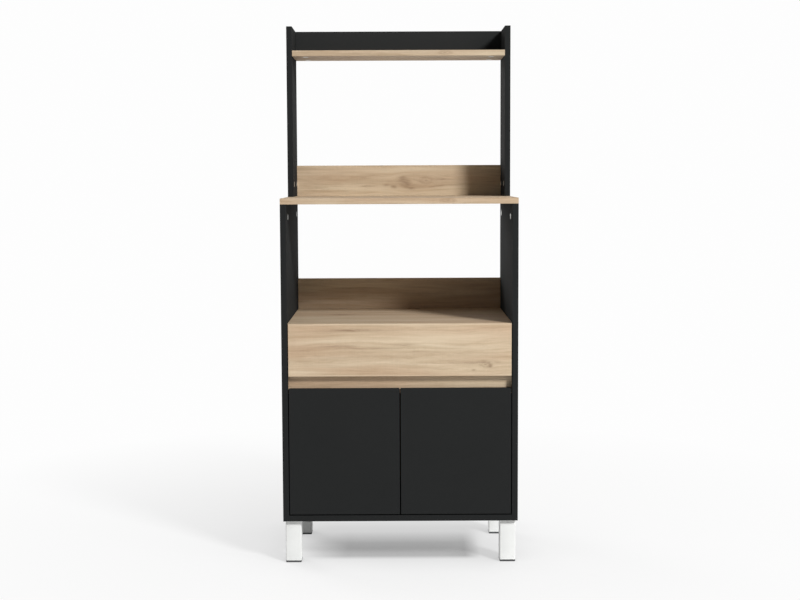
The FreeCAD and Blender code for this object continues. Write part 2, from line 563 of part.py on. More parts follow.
def makeDrawerRunner(drawerSide):
    """The angle under the drawer's side; its flange rides on the front roller."""
    over = f"({FLANGE_UNDER} + steel)"
    web, edge = f"({BOX_OUT} - steel)", f"({INNER} + flangeGap)"
    runner = Piece("drawer_runner_left", (web, DRAWER_RUNNER_FRONT, f"({BOX_BOTTOM} - steel)"))
    runner.pad("y", DRAWER_RUNNER_FRONT, BOX_LENGTH, [
        (BOX_IN, f"{BOX_BOTTOM} - steel"), (BOX_IN, BOX_BOTTOM), (BOX_OUT, BOX_BOTTOM), (BOX_OUT, over),
        (edge, over), (edge, FLANGE_UNDER), (web, FLANGE_UNDER), (web, f"{BOX_BOTTOM} - steel")])
    runner.cut("x", web, 1, "steel",
               circles=[(REAR_ROLLER_Y, REAR_ROLLER_Z, "axleDiameter + 2 * fitPlay")])
    level = f"({BOX_BOTTOM} + drawerScrewRise)"
    spots = [(f"({DRAWER_RUNNER_FRONT} + {setback})", level) for setback in RUNNER_SCREWS]
    drillScrews(runner, "x", web, 1, spots, "steel")
    drillScrews(drawerSide, "x", BOX_OUT, 1, spots, "screwLength - steel + fitPlay")
    makeScrews("drawer_runner_screws", "short", [
        (mirrorX(web, side),) + spot + (Vector(side, 0, 0), UP) for spot in spots for side in (1, -1)])
    keep("drawer_runner_left", runner.body)


def makeRollers():
    """Four nylon rollers on riveted axles: two fixed at the front, two at the drawer's rear end."""
    radius, bore = "rollerDiameter / 2", "(axleDiameter / 2 + axleFit)"
    ease, recess = "rollerEase", "(rollerWidth - rollerRecess)"
    roller = Piece("roller_master").turn([
        ("0", bore), ("0", f"{radius} - {ease}"), (ease, radius), (f"rollerWidth - {ease}", radius),
        ("rollerWidth", f"{radius} - {ease}"), ("rollerWidth", f"{radius} - rollerRim"),
        (recess, f"{radius} - rollerRim - rollerDraft"), (recess, f"{bore} + rollerHub + rollerDraft"),
        ("rollerWidth", f"{bore} + rollerHub"), ("rollerWidth", bore)])
    ring = "(rollerHoleRing / 2)"
    roller.cut("x", recess, -1, recess, circles=[
        (across, along, "rollerHole") for across, along in (
            (ring, "0"), (f"-{ring}", "0"), ("0", ring), ("0", f"-{ring}"))])
    head, span = "axleHeadDiameter / 2", f"({ROLLER_STAND_OFF} + rollerWidth + rollerSide)"
    axle = Piece("axle_master").turn([
        ("0", "0"), ("0", "axleDiameter / 2"), ("steel", "axleDiameter / 2"), ("steel", head),
        ("steel + axleShoulder", head), ("steel + axleShoulder", "axleDiameter / 2"),
        (span, "axleDiameter / 2"), (span, head), (f"{span} + axleHead", f"{head} - axleHead / 2"),
        (f"{span} + axleHead", "0")])
    for end, wall, sign, y, z in (("front", INNER, 1, FRONT_ROLLER_Y, FRONT_ROLLER_Z),
                                  ("rear", BOX_OUT, -1, REAR_ROLLER_Y, REAR_ROLLER_Z)):
        seat = f"({wall} + {sign} * {ROLLER_STAND_OFF})"
        for name, side in (("left", 1), ("right", -1)):
            makeGroup(f"{end}_roller_{name}", roller,
                      [(mirrorX(seat, side), y, z, Vector(sign * side, 0, 0), UP)])
        makeGroup(f"{end}_axles", axle,
                  [(mirrorX(wall, side), y, z, Vector(sign * side, 0, 0), UP) for side in (1, -1)])


# ---------------------------------------------------------------- doors and their hinges
def makeDoor():
    """The left door, bored for two hinge cups."""
    door = makeBoard("door_left", (DOOR_OUT, FRONT, DOOR_BOTTOM), (DOOR_IN, FRONT_BACK_FACE, DOOR_TOP),
                     "y", paired=True)
    middle = f"({DOOR_OUT} + cupEdge + cupDiameter / 2)"
    door.cut("y", FRONT_BACK_FACE, -1, "cupDepth + fitPlay",
             circles=[(middle, level, "cupDiameter") for level in HINGE_LEVELS])
    spots = [(middle, f"({level} + {sign} * earScrew)") for level in HINGE_LEVELS for sign in (1, -1)]
    drillScrews(door, "y", FRONT_BACK_FACE, -1, spots, "screwLength - earThickness + fitPlay")
    seat = f"({FRONT_BACK_FACE} + earThickness)"
    for name, side in (("left", 1), ("right", -1)):
        makeScrews(f"hinge_cup_screws_{name}", "short", [
            (mirrorX(x, side), seat, z, Vector(0, -1, 0), UP) for x, z in spots])
    return door


def makeHingeCup():
    """The cup let into the door, with two ears on the door's back."""
    middle, outer = "(cupEdge + cupDiameter / 2)", "(cupDiameter - 2 * holePlay)"
    seat = "(board + earThickness)"
    cup = Piece("hinge_cup_master")
    cup.pad("y", "board - cupDepth", "cupDepth + cupRim", circles=[(middle, "0", outer)])
    cup.pad("y", "board", "earThickness", rectangle((f"{middle} - earWidth / 2", "-earSpan / 2"),
                                                    (f"{middle} + earWidth / 2", "earSpan / 2")))
    cup.cut("y", seat, -1, "cupDepth + earThickness - cupWall",
            circles=[(middle, "0", f"{outer} - 2 * cupWall")])
    drillScrews(cup, "y", seat, -1, [(middle, "earScrew"), (middle, "-earScrew")], "earThickness")
    return cup


HINGE_PLATE_FACE = "(-doorSideGap + hingePlateThickness)"
ARM_FACE = f"({HINGE_PLATE_FACE} + armThickness)"


def makeHingeArm():
    """The cranked arm; its forked nose holds the link's pin inside the cup."""
    arm = Piece("hinge_arm_master")
    arm.pad("z", "-armHeight / 2", "armHeight", [
        (HINGE_PLATE_FACE, "armEnd"), (HINGE_PLATE_FACE, "armRoot"),
        ("pivotIn - noseHalf", "pivotBack - noseSlant"), ("pivotIn", "pivotBack - pivotNose"),
        ("pivotIn + noseHalf", "pivotBack - noseSlant"),
        ("pivotIn + pivotNose", "pivotBack + noseBack"),
        (ARM_FACE, "armRoot + armShoulder"), (ARM_FACE, "armEnd")])
    arm.cut("z", "armSlot / 2", -1, "armSlot", rectangle(
        ("pivotIn - forkReach", "0"), ("pivotIn + forkDepth", "pivotBack + forkDepth")))
    arm.cut("z", "armHeight / 2", -1, "armHeight",
            circles=[("pivotIn", "pivotBack", "pivotPin + 2 * axleFit")])
    drillScrews(arm, "x", ARM_FACE, -1, [("armScrewSetback", "0")], "armThickness")
    return arm


def makeHingePlate(sidePanel):
    """The mounting plate on the side panel, with its screws and the arm's own screw."""
    spots = [("hingePlateSetback", "hingePlateScrew"), ("hingePlateSetback", "-hingePlateScrew")]
    plate = Piece("hinge_plate_master")
    plate.pad("x", "-doorSideGap", "hingePlateThickness", rectangle(
        ("hingePlateSetback - hingePlateWidth / 2", "-hingePlateHeight / 2"),
        ("hingePlateSetback + hingePlateWidth / 2", "hingePlateHeight / 2")))
    drillScrews(plate, "x", HINGE_PLATE_FACE, -1, spots + [("armScrewSetback", "0")], "hingePlateThickness")
    screws = []
    for level in HINGE_LEVELS:
        placed = [(f"({FRONT} + {y})", f"({level} + {z})") for y, z in spots]
        drillScrews(sidePanel, "x", INNER, -1, placed, "screwLength - hingePlateThickness + fitPlay")
        armSpot = (f"({FRONT} + armScrewSetback)", level)
        drillScrews(sidePanel, "x", INNER, -1, [armSpot],
                    "screwLength - hingePlateThickness - armThickness + fitPlay")
        for side in (1, -1):
            seat = mirrorX(f"({DOOR_OUT} + {HINGE_PLATE_FACE})", side)
            armSeat = mirrorX(f"({DOOR_OUT} + {ARM_FACE})", side)
            screws += [(seat,) + spot + (Vector(-side, 0, 0), UP) for spot in placed]
            screws.append((armSeat,) + armSpot + (Vector(-side, 0, 0), UP))
    makeScrews("hinge_plate_screws", "short", screws)
    return plate


def strip(half, route):
    """The outline of a bent strip along a route, each corner square to the line past its point."""
    sides = ([], [])
    for index, (across, along) in enumerate(route):
        before, after = route[max(index - 1, 0)], route[min(index + 1, len(route) - 1)]
        runAcross, runAlong = f"({after[0]} - ({before[0]}))", f"({after[1]} - ({before[1]}))"
        share = f"{half} / hypot({runAcross}; {runAlong})"
        for side, sign in zip(sides, ("+", "-")):
            side.append((f"{across} - (0 {sign} {runAlong}) * {share}",
                         f"{along} + (0 {sign} {runAcross}) * {share}"))
    return sides[0] + sides[1][::-1]


def makeHingeLink():
    """The bent link from the arm's pin into the cup; its far end floats in the hollow cup."""
    link = Piece("hinge_link_master")
    base = "-linkHeight / 2"
    link.pad("z", base, "linkHeight", circles=[("pivotIn", "pivotBack", "linkEye")])
    link.pad("z", base, "linkHeight", strip("linkThickness / 2", [
        ("pivotIn", "pivotBack"), ("linkBendIn", "linkBendBack"), ("linkTipIn", "linkTipBack"),
        ("linkEndIn", "linkEndBack")]))
    link.pad("z", base, "linkHeight", circles=[("linkEndIn", "linkEndBack", "linkEye")])
    link.cut("z", "linkHeight / 2", -1, "linkHeight",
             circles=[("pivotIn", "pivotBack", "pivotPin + 2 * axleFit")])
    return link


def makeHinges(sidePanel):
    """Two inset cup hinges on each door; the shape is the same upside down, so the right side is turned."""
    masters = {"hinge_cups": makeHingeCup(), "hinge_arms": makeHingeArm(),
               "hinge_plates": makeHingePlate(sidePanel), "hinge_links": makeHingeLink()}
    for name, side in (("left", 1), ("right", -1)):
        for label, master in masters.items():
            makeGroup(f"{label}_{name}", master, [
                (mirrorX(DOOR_OUT, side), FRONT, level, Vector(side, 0, 0), Vector(0, 0, side))
                for level in HINGE_LEVELS])
    pin = Piece("hinge_pin_master").turn([
        ("-armHeight / 2", "0"), ("-armHeight / 2", "pivotPin / 2"), ("armHeight / 2", "pivotPin / 2"),
        ("armHeight / 2", "0")])
    makeGroup("hinge_pins", pin, [
        (mirrorX(f"({DOOR_OUT} + pivotIn)", side), f"({FRONT} + pivotBack)", level, UP, Vector(1, 0, 0))
        for level in HINGE_LEVELS for side in (1, -1)])


def makeBumpers():
    """Soft bumpers on the rail, two behind the doors and two behind the drawer's front."""
    bumper = Piece("bumper_master").turn([
        ("0", "0"), ("0", "bumperDiameter / 2"), ("bumperEdge", "bumperDiameter / 2"),
        ("bumperThickness", "bumperTop / 2"), ("bumperThickness", "0")])
    doorSpot = ("(doorMiddleGap / 2 + bumperInset)", f"({DOOR_TOP} - railOverlap / 2)")
    drawerSpot = (f"(-({BOX_IN}) - bumperInset)", f"({DRAWER_BOTTOM} + railOverlap / 2)")
    makeGroup("bumpers", bumper, [
        (mirrorX(x, side), RAIL_FRONT, z, Vector(0, -1, 0), UP)
        for x, z in (doorSpot, drawerSpot) for side in (1, -1)])


# ---------------------------------------------------------------- legs
def makeLeg(label, inset, setback, inward, bottomPanel):
    """A square tube with an offset plate welded on top; inward is the plate's way along Y."""
    left, corner = f"(-width / 2 + {inset})", f"({FRONT} + {setback})"
    back = f"({corner} + legSize)"
    under = f"({BASE} - legPlateThickness)"
    leg = Piece(label, (left, corner, "padHeight"))
    leg.pad("z", "padHeight", f"legHeight - legPlateThickness / 2",
            rectangle((left, corner), (f"{left} + legSize", back)))
    start, end = (corner, f"{corner} + legPlate") if inward > 0 else (f"{back} - legPlate", back)
    leg.pad("z", under, "legPlateThickness", rectangle((left, start), (f"{left} + legPlate", end)))
    leg.cut("z", "padHeight", 1, "legHeight - legPlateThickness", rectangle(
        (f"{left} + legWall", f"{corner} + legWall"),
        (f"{left} + legSize - legWall", f"{back} - legWall")))
    beside = "((legSize + legPlate) / 2)"
    fixed = corner if inward > 0 else back
    near, far = f"({fixed} + ({inward}) * legSize / 2)", f"({fixed} + ({inward}) * {beside})"
    spots = [(f"({left} + legSize / 2)", far), (f"({left} + {beside})", near), (f"({left} + {beside})", far)]
    drillScrews(leg, "z", under, 1, spots, "legPlateThickness")
    both = [(mirrorX(x, side), y) for x, y in spots for side in (1, -1)]
    drillScrews(bottomPanel, "z", BASE, 1, both, "screwLength - legPlateThickness + fitPlay")
    keep(label, leg.body)
    screws = [(x, y, under, UP, Vector(1, 0, 0)) for x, y in both]
    pads = [(mirrorX(f"({left} + legSize / 2)", side), f"({corner} + legSize / 2)", "0",
             Vector(1, 0, 0), UP) for side in (1, -1)]
    return screws, pads


def makeLegs(bottomPanel):
    """Four legs with their plates, screws and pads."""
    screws, pads = [], []
    for label, inset, setback, inward in (("leg_front_left", "legInset", "legSetback", 1),
                                          ("leg_rear_left", "rearLegInset", "rearLegSetback", -1)):
        moreScrews, morePads = makeLeg(label, inset, setback, inward, bottomPanel)
        screws += moreScrews
        pads += morePads
    makeScrews("leg_screws", "short", screws)
    half, plug = "(legSize / 2)", "(legSize / 2 - legWall - padPlay)"
    pad = Piece("leg_pad_master")
    pad.pad("z", "0", "padHeight", rectangle((f"-{half}", f"-{half}"), (half, half)))
    pad.pad("z", "padHeight", "padPlug", rectangle((f"-{plug}", f"-{plug}"), (plug, plug)))
    makeGroup("leg_pads", pad, pads)


# ---------------------------------------------------------------- build, check, write
def makeFittings():
    """The loose fittings that the joints asked for, one node of each kind."""
    masters = {
        "cam_locks": makeCam("cam_master", "camDiameter", "camDepth", "board / 2"),
        "cam_bolts": makeBolt("cam_bolt_master", "camSetback"),
        "drawer_cams": makeCam("drawer_cam_master", "drawerCamDiameter", "drawerCamDepth", "drawerBoard / 2"),
        "drawer_cam_bolts": makeBolt("drawer_cam_bolt_master", "drawerCamSetback"),
    }
    masters["dowels"] = masters["drawer_dowels"] = makeDowel()
    for label, places in fittings.items():
        makeGroup(label, masters[label], places)


def buildStand():
    boards = makeBoards()
    sidePanel = boards["side_panel_left"]
    makeCabinetBack()
    joinBoards(boards)
    drawerSide = makeDrawer()
    makeCabinetRunner(sidePanel)
    makeDrawerRunner(drawerSide)
    makeRollers()
    makeDoor()
    makeHinges(sidePanel)
    makeBumpers()
    makeLegs(boards["bottom_panel"])
    makeFittings()
    for label in ("side_panel", "upper_side", "drawer_side", "cabinet_runner", "drawer_runner", "door",
                  "leg_front", "leg_rear"):
        makeMirror(f"{label}_right", f"{label}_left")


LEAST_CUT = 0.01


def checkModel():
    """Stop on any object that failed, and on any pad or pocket that changed nothing."""
    for item in doc.Objects:
        if "Invalid" in item.State or "Error" in item.State:
            raise RuntimeError(f"{item.Label} is {item.State}")
        if item.TypeId == "PartDesign::Pocket":
            before = item.BaseFeature.Shape.Volume
            if not item.Shape.Volume < before - LEAST_CUT:
                raise RuntimeError(f"a pocket of {item.getParentGeoFeatureGroup().Label} cuts nothing")
    for label, thing in nodes.items():
        if thing.Shape.isNull() or not thing.Shape.isValid():
            raise RuntimeError(f"{label} has no valid shape")


buildStand()
doc.recompute()
checkModel()
for label, thing in sorted(nodes.items()):
    thing.Shape.exportStep(f"parts/{label}.step")
    box = thing.Shape.BoundBox
    print(f"{label:26s} solids {len(thing.Shape.Solids):3d}  volume {thing.Shape.Volume:12.1f}  "
          f"x {box.XMin:8.2f} {box.XMax:8.2f}  y {box.YMin:8.2f} {box.YMax:8.2f}  "
          f"z {box.ZMin:8.2f} {box.ZMax:8.2f}")
print(f"{len(nodes)} nodes")
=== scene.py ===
import json
import math

import bpy
from mathutils import Matrix, Vector

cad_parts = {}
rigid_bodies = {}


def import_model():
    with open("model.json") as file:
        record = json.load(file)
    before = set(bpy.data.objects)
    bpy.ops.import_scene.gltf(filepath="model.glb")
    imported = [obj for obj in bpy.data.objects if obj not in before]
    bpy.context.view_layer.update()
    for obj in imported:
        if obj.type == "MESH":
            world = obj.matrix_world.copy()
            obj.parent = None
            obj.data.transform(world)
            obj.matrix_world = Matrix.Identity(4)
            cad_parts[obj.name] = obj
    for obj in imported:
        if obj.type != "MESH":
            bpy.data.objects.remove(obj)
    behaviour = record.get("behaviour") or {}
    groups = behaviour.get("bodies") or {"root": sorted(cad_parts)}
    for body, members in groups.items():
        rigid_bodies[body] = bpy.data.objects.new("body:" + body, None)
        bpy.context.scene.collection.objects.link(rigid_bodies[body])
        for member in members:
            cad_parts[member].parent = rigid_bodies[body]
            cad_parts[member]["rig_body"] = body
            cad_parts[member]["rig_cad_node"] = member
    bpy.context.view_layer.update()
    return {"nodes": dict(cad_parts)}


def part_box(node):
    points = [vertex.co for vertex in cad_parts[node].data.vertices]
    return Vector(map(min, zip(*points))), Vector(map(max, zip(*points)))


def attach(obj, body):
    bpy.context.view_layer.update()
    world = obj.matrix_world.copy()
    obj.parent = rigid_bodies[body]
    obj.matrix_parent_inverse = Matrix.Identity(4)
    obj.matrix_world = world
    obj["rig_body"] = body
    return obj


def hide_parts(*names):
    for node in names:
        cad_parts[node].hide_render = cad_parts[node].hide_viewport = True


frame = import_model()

# Microwave stand with a drawer and two doors. Metres, Z up, the front looks along -Y.
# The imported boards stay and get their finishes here. Legs, pads and screws are modelled again with more
# shape, and the pressed and cast fittings get rounded edges.

scene = bpy.context.scene
nodes = frame["nodes"]


def linear(red, green, blue):  # screen colour 0-255 to a shader colour
    shares = [value / 255 for value in (red, green, blue)]
    return tuple(s / 12.92 if s <= 0.04045 else ((s + 0.055) / 1.055) ** 2.4 for s in shares) + (1,)


# small helpers for shader nodes
def startMaterial(name):
    material = bpy.data.materials.new(name)
    material.use_nodes = True
    material.node_tree.nodes.clear()
    return material, material.node_tree


def put(tree, kind, sockets=None, **settings):
    node = tree.nodes.new(kind)
    for key, value in settings.items():
        setattr(node, key, value)
    for key, value in (sockets or {}).items():
        if isinstance(value, bpy.types.NodeSocket):
            tree.links.new(value, node.inputs[key])
        else:
            node.inputs[key].default_value = value
    return node


def calc(tree, operation, *values):
    return put(tree, "ShaderNodeMath", dict(enumerate(values)), operation=operation).outputs[0]


def vector(tree, x, y, z):
    return put(tree, "ShaderNodeCombineXYZ", {"X": x, "Y": y, "Z": z}).outputs[0]


def split(tree, source):
    parts = put(tree, "ShaderNodeSeparateXYZ", {"Vector": source}).outputs
    return parts["X"], parts["Y"], parts["Z"]


def noise(tree, where, scale, detail=2, roughness=0.5, distortion=0):
    return put(tree, "ShaderNodeTexNoise", {"Vector": where, "Scale": scale, "Detail": detail,
                                            "Roughness": roughness, "Distortion": distortion}).outputs[0]


def remap(tree, value, low, high, toLow=0, toHigh=1):
    return put(tree, "ShaderNodeMapRange", {"Value": value, "From Min": low, "From Max": high,
                                            "To Min": toLow, "To Max": toHigh}).outputs[0]


def blendColours(tree, share, first, second, mode="MIX"):
    node = tree.nodes.new("ShaderNodeMix")
    node.data_type, node.blend_type = "RGBA", mode
    for socket, value in ((node.inputs[0], share), (node.inputs[6], first), (node.inputs[7], second)):
        if isinstance(value, bpy.types.NodeSocket):
            tree.links.new(value, socket)
        else:
            socket.default_value = value
    return node.outputs[2]


def bump(tree, height, strength, distance):
    sockets = {"Height": height, "Strength": strength, "Distance": distance}
    return put(tree, "ShaderNodeBump", sockets).outputs[0]


def shade(tree, sockets):
    shader = put(tree, "ShaderNodeBsdfPrincipled", sockets).outputs[0]
    tree.links.new(shader, put(tree, "ShaderNodeOutputMaterial").inputs["Surface"])


def coords(tree):
    return put(tree, "ShaderNodeTexCoord").outputs


def absolute(tree, source):
    return put(tree, "ShaderNodeVectorMath", {0: source}, operation="ABSOLUTE").outputs[0]


def finishWith(material, *names):
    for name in names:
        nodes[name].data.materials.clear()
        nodes[name].data.materials.append(material)


# a noise mostly stays between such limits, and closer ones give a pattern harder edges
swing = {"full": (0.2, 0.8), "wide": (0.25, 0.75), "soft": (0.3, 0.7), "hard": (0.35, 0.65)}
squareOn = 0.7  # a face looks along an axis from this share of its normal on

# oak decor on the shelves, the drawer front and the splash boards
oak = {
    "cream": linear(206, 187, 159), "line": linear(160, 133, 103), "pink": linear(190, 162, 134),
    "dark": linear(118, 90, 66), "pale": linear(224, 207, 180),
    "ringsPerMetre": 120, "ringDrift": 2.2, "stretch": 0.05,  # the arched lines round the heart
    "wander": 0.026, "shiver": 0.008,  # metres that the lines stray
    "ringShare": 0.36, "flameShare": 0.40, "zoneShare": 0.8, "paleShare": 0.4,
    "fibre": 0.11, "hair": 0.035, "pore": 0.12, "saw": 0.022,  # how far each changes the tone
    "topSeed": 3.7,  # the top face shows another cut than the front one
    "grainAlong": 45, "grainAcross": 260, "ragged": (0.35, 1.25),  # frays the knots and streaks
    "fibreRelief": 0.4, "reliefRange": (-1, 0.5), "bump": 0.25, "depth": 0.0002,
    "specular": 0.22, "dull": 0.74, "satin": 0.62,
}
# layers of the figure: features per metre along and across the grain, detail, roughness, shift of the seed
oakLayers = {
    "wander": (2.4, 9, 2, 0.5, 0.0), "shiver": (13, 60, 3, 0.6, 0.0), "flame": (8.5, 115, 5, 0.66, 9.1),
    "zone": (1.9, 17, 2, 0.5, 4.3), "pale": (2.6, 38, 2, 0.5, 6.6), "fibres": (9, 380, 4, 0.68, 0.0),
    "hair": (30, 1500, 2, 0.5, 0.0), "pores": (70, 1900, 1, 0.5, 2.2), "saw": (520, 22, 2, 0.5, 7.7),
}
# a layer shows from the first value on, and fully from the second
oakLimits = {"line": (0.42, 0.66), "flame": (0.50, 0.70), "zone": (0.38, 0.62), "pale": (0.55, 0.72),
             "pores": (0.62, 0.72)}
knot = {"innerRing": 0.35, "outerRing": 0.95, "sharp": 11.0, "ring": 0.75, "middle": 14.0, "bow": 0.8,
        "edgeAlong": 210, "edgeAcross": 420, "ringReach": 0.5, "bowReach": 0.4}


def makeOakFigure():
    # the printed oak figure in flat board coordinates: X runs along the grain, Y across it, and Z is a seed
    group = bpy.data.node_groups.new("oakFigure", "ShaderNodeTree")
    group.interface.new_socket("Place", in_out="INPUT", socket_type="NodeSocketVector")
    group.interface.new_socket("Heart", in_out="INPUT", socket_type="NodeSocketVector")
    group.interface.new_socket("Color", in_out="OUTPUT", socket_type="NodeSocketColor")
    group.interface.new_socket("Relief", in_out="OUTPUT", socket_type="NodeSocketFloat")
    start, end = group.nodes.new("NodeGroupInput"), group.nodes.new("NodeGroupOutput")
    along, across, seed = split(group, start.outputs["Place"])
    heartAlong, heartAcross = split(group, start.outputs["Heart"])[:2]

    def times(value, factor):
        return calc(group, "MULTIPLY", value, factor)

    def layer(name, sideways):
        runs, crosses, detail, roughness, shift = oakLayers[name]
        place = vector(group, times(along, runs), times(sideways, crosses), calc(group, "ADD", seed, shift))
        return noise(group, place, 1, detail, roughness)

    def stray(name):
        return times(calc(group, "SUBTRACT", layer(name, across), 0.5), oak[name])

    bent = calc(group, "ADD", calc(group, "ADD", across, stray("wander")), stray("shiver"))
    fromHeart = calc(group, "SUBTRACT", bent, heartAcross)
    run = times(calc(group, "SUBTRACT", along, heartAlong), oak["stretch"])
    reach = calc(group, "SQRT", calc(group, "ADD", times(fromHeart, fromHeart), times(run, run)))
    ringPlace = vector(group, times(reach, oak["ringsPerMetre"]), times(along, oak["ringDrift"]), seed)
    line = remap(group, noise(group, ringPlace, 1, 4, 0.66), *oakLimits["line"])
    flame = remap(group, layer("flame", bent), *oakLimits["flame"])
    zone = remap(group, layer("zone", bent), *oakLimits["zone"])
    pale = remap(group, layer("pale", bent), *oakLimits["pale"])
    pores = remap(group, layer("pores", bent), *oakLimits["pores"])
    fibres = layer("fibres", bent)
    colour = blendColours(group, times(zone, oak["zoneShare"]), oak["cream"], oak["pink"])
    colour = blendColours(group, times(line, oak["ringShare"]), colour, oak["line"])
    colour = blendColours(group, times(flame, oak["flameShare"]), colour, oak["line"])
    colour = blendColours(group, times(pale, oak["paleShare"]), colour, oak["pale"])
    hair = remap(group, layer("hair", bent), *swing["full"], -oak["hair"], oak["hair"])
    saw = remap(group, layer("saw", across), *swing["wide"], -oak["saw"], oak["saw"])  # across the grain
    tone = remap(group, fibres, *swing["full"], 1 - oak["fibre"], 1 + oak["fibre"])
    tone = calc(group, "ADD", tone, hair)
    tone = calc(group, "SUBTRACT", calc(group, "ADD", tone, saw), times(pores, oak["pore"]))
    colour = blendColours(group, 1.0, colour, vector(group, tone, tone, tone), "MULTIPLY")
    relief = calc(group, "SUBTRACT", times(fibres, oak["fibreRelief"]), pores)
    group.links.new(colour, end.inputs["Color"])
    group.links.new(relief, end.inputs["Relief"])
    return group


oakFigure = makeOakFigure()


def makeOak(name, figure):
    # one board's own cut of the figure: its seed, where its heart lies, and its knots and streaks
    material, tree = startMaterial(name)
    where = coords(tree)
    x, y, z = split(tree, where["Object"])
    facing = split(tree, absolute(tree, where["Normal"]))

    def times(value, factor):
        return calc(tree, "MULTIPLY", value, factor)

    isTop = calc(tree, "GREATER_THAN", facing[2], squareOn)
    isEnd = calc(tree, "GREATER_THAN", facing[0], squareOn)
    along = calc(tree, "ADD", x, times(isEnd, y))
    across = calc(tree, "ADD", times(z, calc(tree, "SUBTRACT", 1.0, isTop)), times(y, isTop))
    seed = calc(tree, "ADD", times(isTop, oak["topSeed"]), figure["seed"])
    grain = vector(tree, times(along, oak["grainAlong"]), times(across, oak["grainAcross"]), seed)
    ragged = remap(tree, noise(tree, grain, 1, 3, 0.6), *swing["soft"], *oak["ragged"])

    def spreadFrom(alongAt, acrossAt, halfLong, halfWide):
        shiftAlong = calc(tree, "DIVIDE", calc(tree, "SUBTRACT", along, alongAt), halfLong)
        shiftAcross = calc(tree, "DIVIDE", calc(tree, "SUBTRACT", across, acrossAt), halfWide)
        return calc(tree, "ADD", times(shiftAlong, shiftAlong), times(shiftAcross, shiftAcross))

    def fallOff(spread, steep):
        return calc(tree, "EXPONENT", times(spread, -steep))

    darkness = 0.0
    for alongAt, acrossAt, halfLong, halfWide, strength in figure["knots"]:
        # the lines bow round a knot, which shows as a soft broken ring with a small dark middle
        spread = spreadFrom(alongAt, acrossAt, halfLong, halfWide)
        edge = vector(tree, times(along, knot["edgeAlong"]), times(across, knot["edgeAcross"]), seed)
        uneven = noise(tree, edge, 1, 3, 0.6)
        radius = remap(tree, uneven, *swing["wide"], knot["innerRing"], knot["outerRing"])
        fromRing = calc(tree, "SUBTRACT", calc(tree, "SQRT", spread), radius)
        ring = times(fallOff(times(fromRing, fromRing), knot["sharp"]), fallOff(spread, knot["ringReach"]))
        spot = calc(tree, "MAXIMUM", times(ring, knot["ring"]), fallOff(spread, knot["middle"]))
        darkness = calc(tree, "MAXIMUM", darkness, times(times(spot, strength), ragged))
        pull = times(calc(tree, "SUBTRACT", across, acrossAt), fallOff(spread, knot["bowReach"]))
        across = calc(tree, "SUBTRACT", across, times(pull, knot["bow"]))
    board = put(tree, "ShaderNodeGroup", node_tree=oakFigure)
    tree.links.new(vector(tree, along, across, seed), board.inputs["Place"])
    board.inputs["Heart"].default_value = figure["heart"] + (0,)
    colour = board.outputs["Color"]
    for alongAt, acrossAt, halfLong, halfWide, strength in figure["streaks"]:
        share = times(fallOff(spreadFrom(alongAt, acrossAt, halfLong, halfWide), 1.0), abs(strength))
        if strength > 0:
            share = times(share, ragged)
        colour = blendColours(tree, share, colour, oak["dark"] if strength > 0 else oak["pale"])
    colour = blendColours(tree, darkness, colour, oak["dark"])
    # painted shade: a tone below 1 darkens the whole board towards black, for boards that stand in shade
    colour = blendColours(tree, 1 - figure.get("tone", 1.0), colour, (0, 0, 0, 1))
    relief = board.outputs["Relief"]
    roughness = remap(tree, relief, *oak["reliefRange"], oak["dull"], oak["satin"])
    shade(tree, {"Base Color": colour, "Roughness": roughness, "Specular IOR Level": oak["specular"],
                 "Normal": bump(tree, relief, oak["bump"], oak["depth"])})
    return material
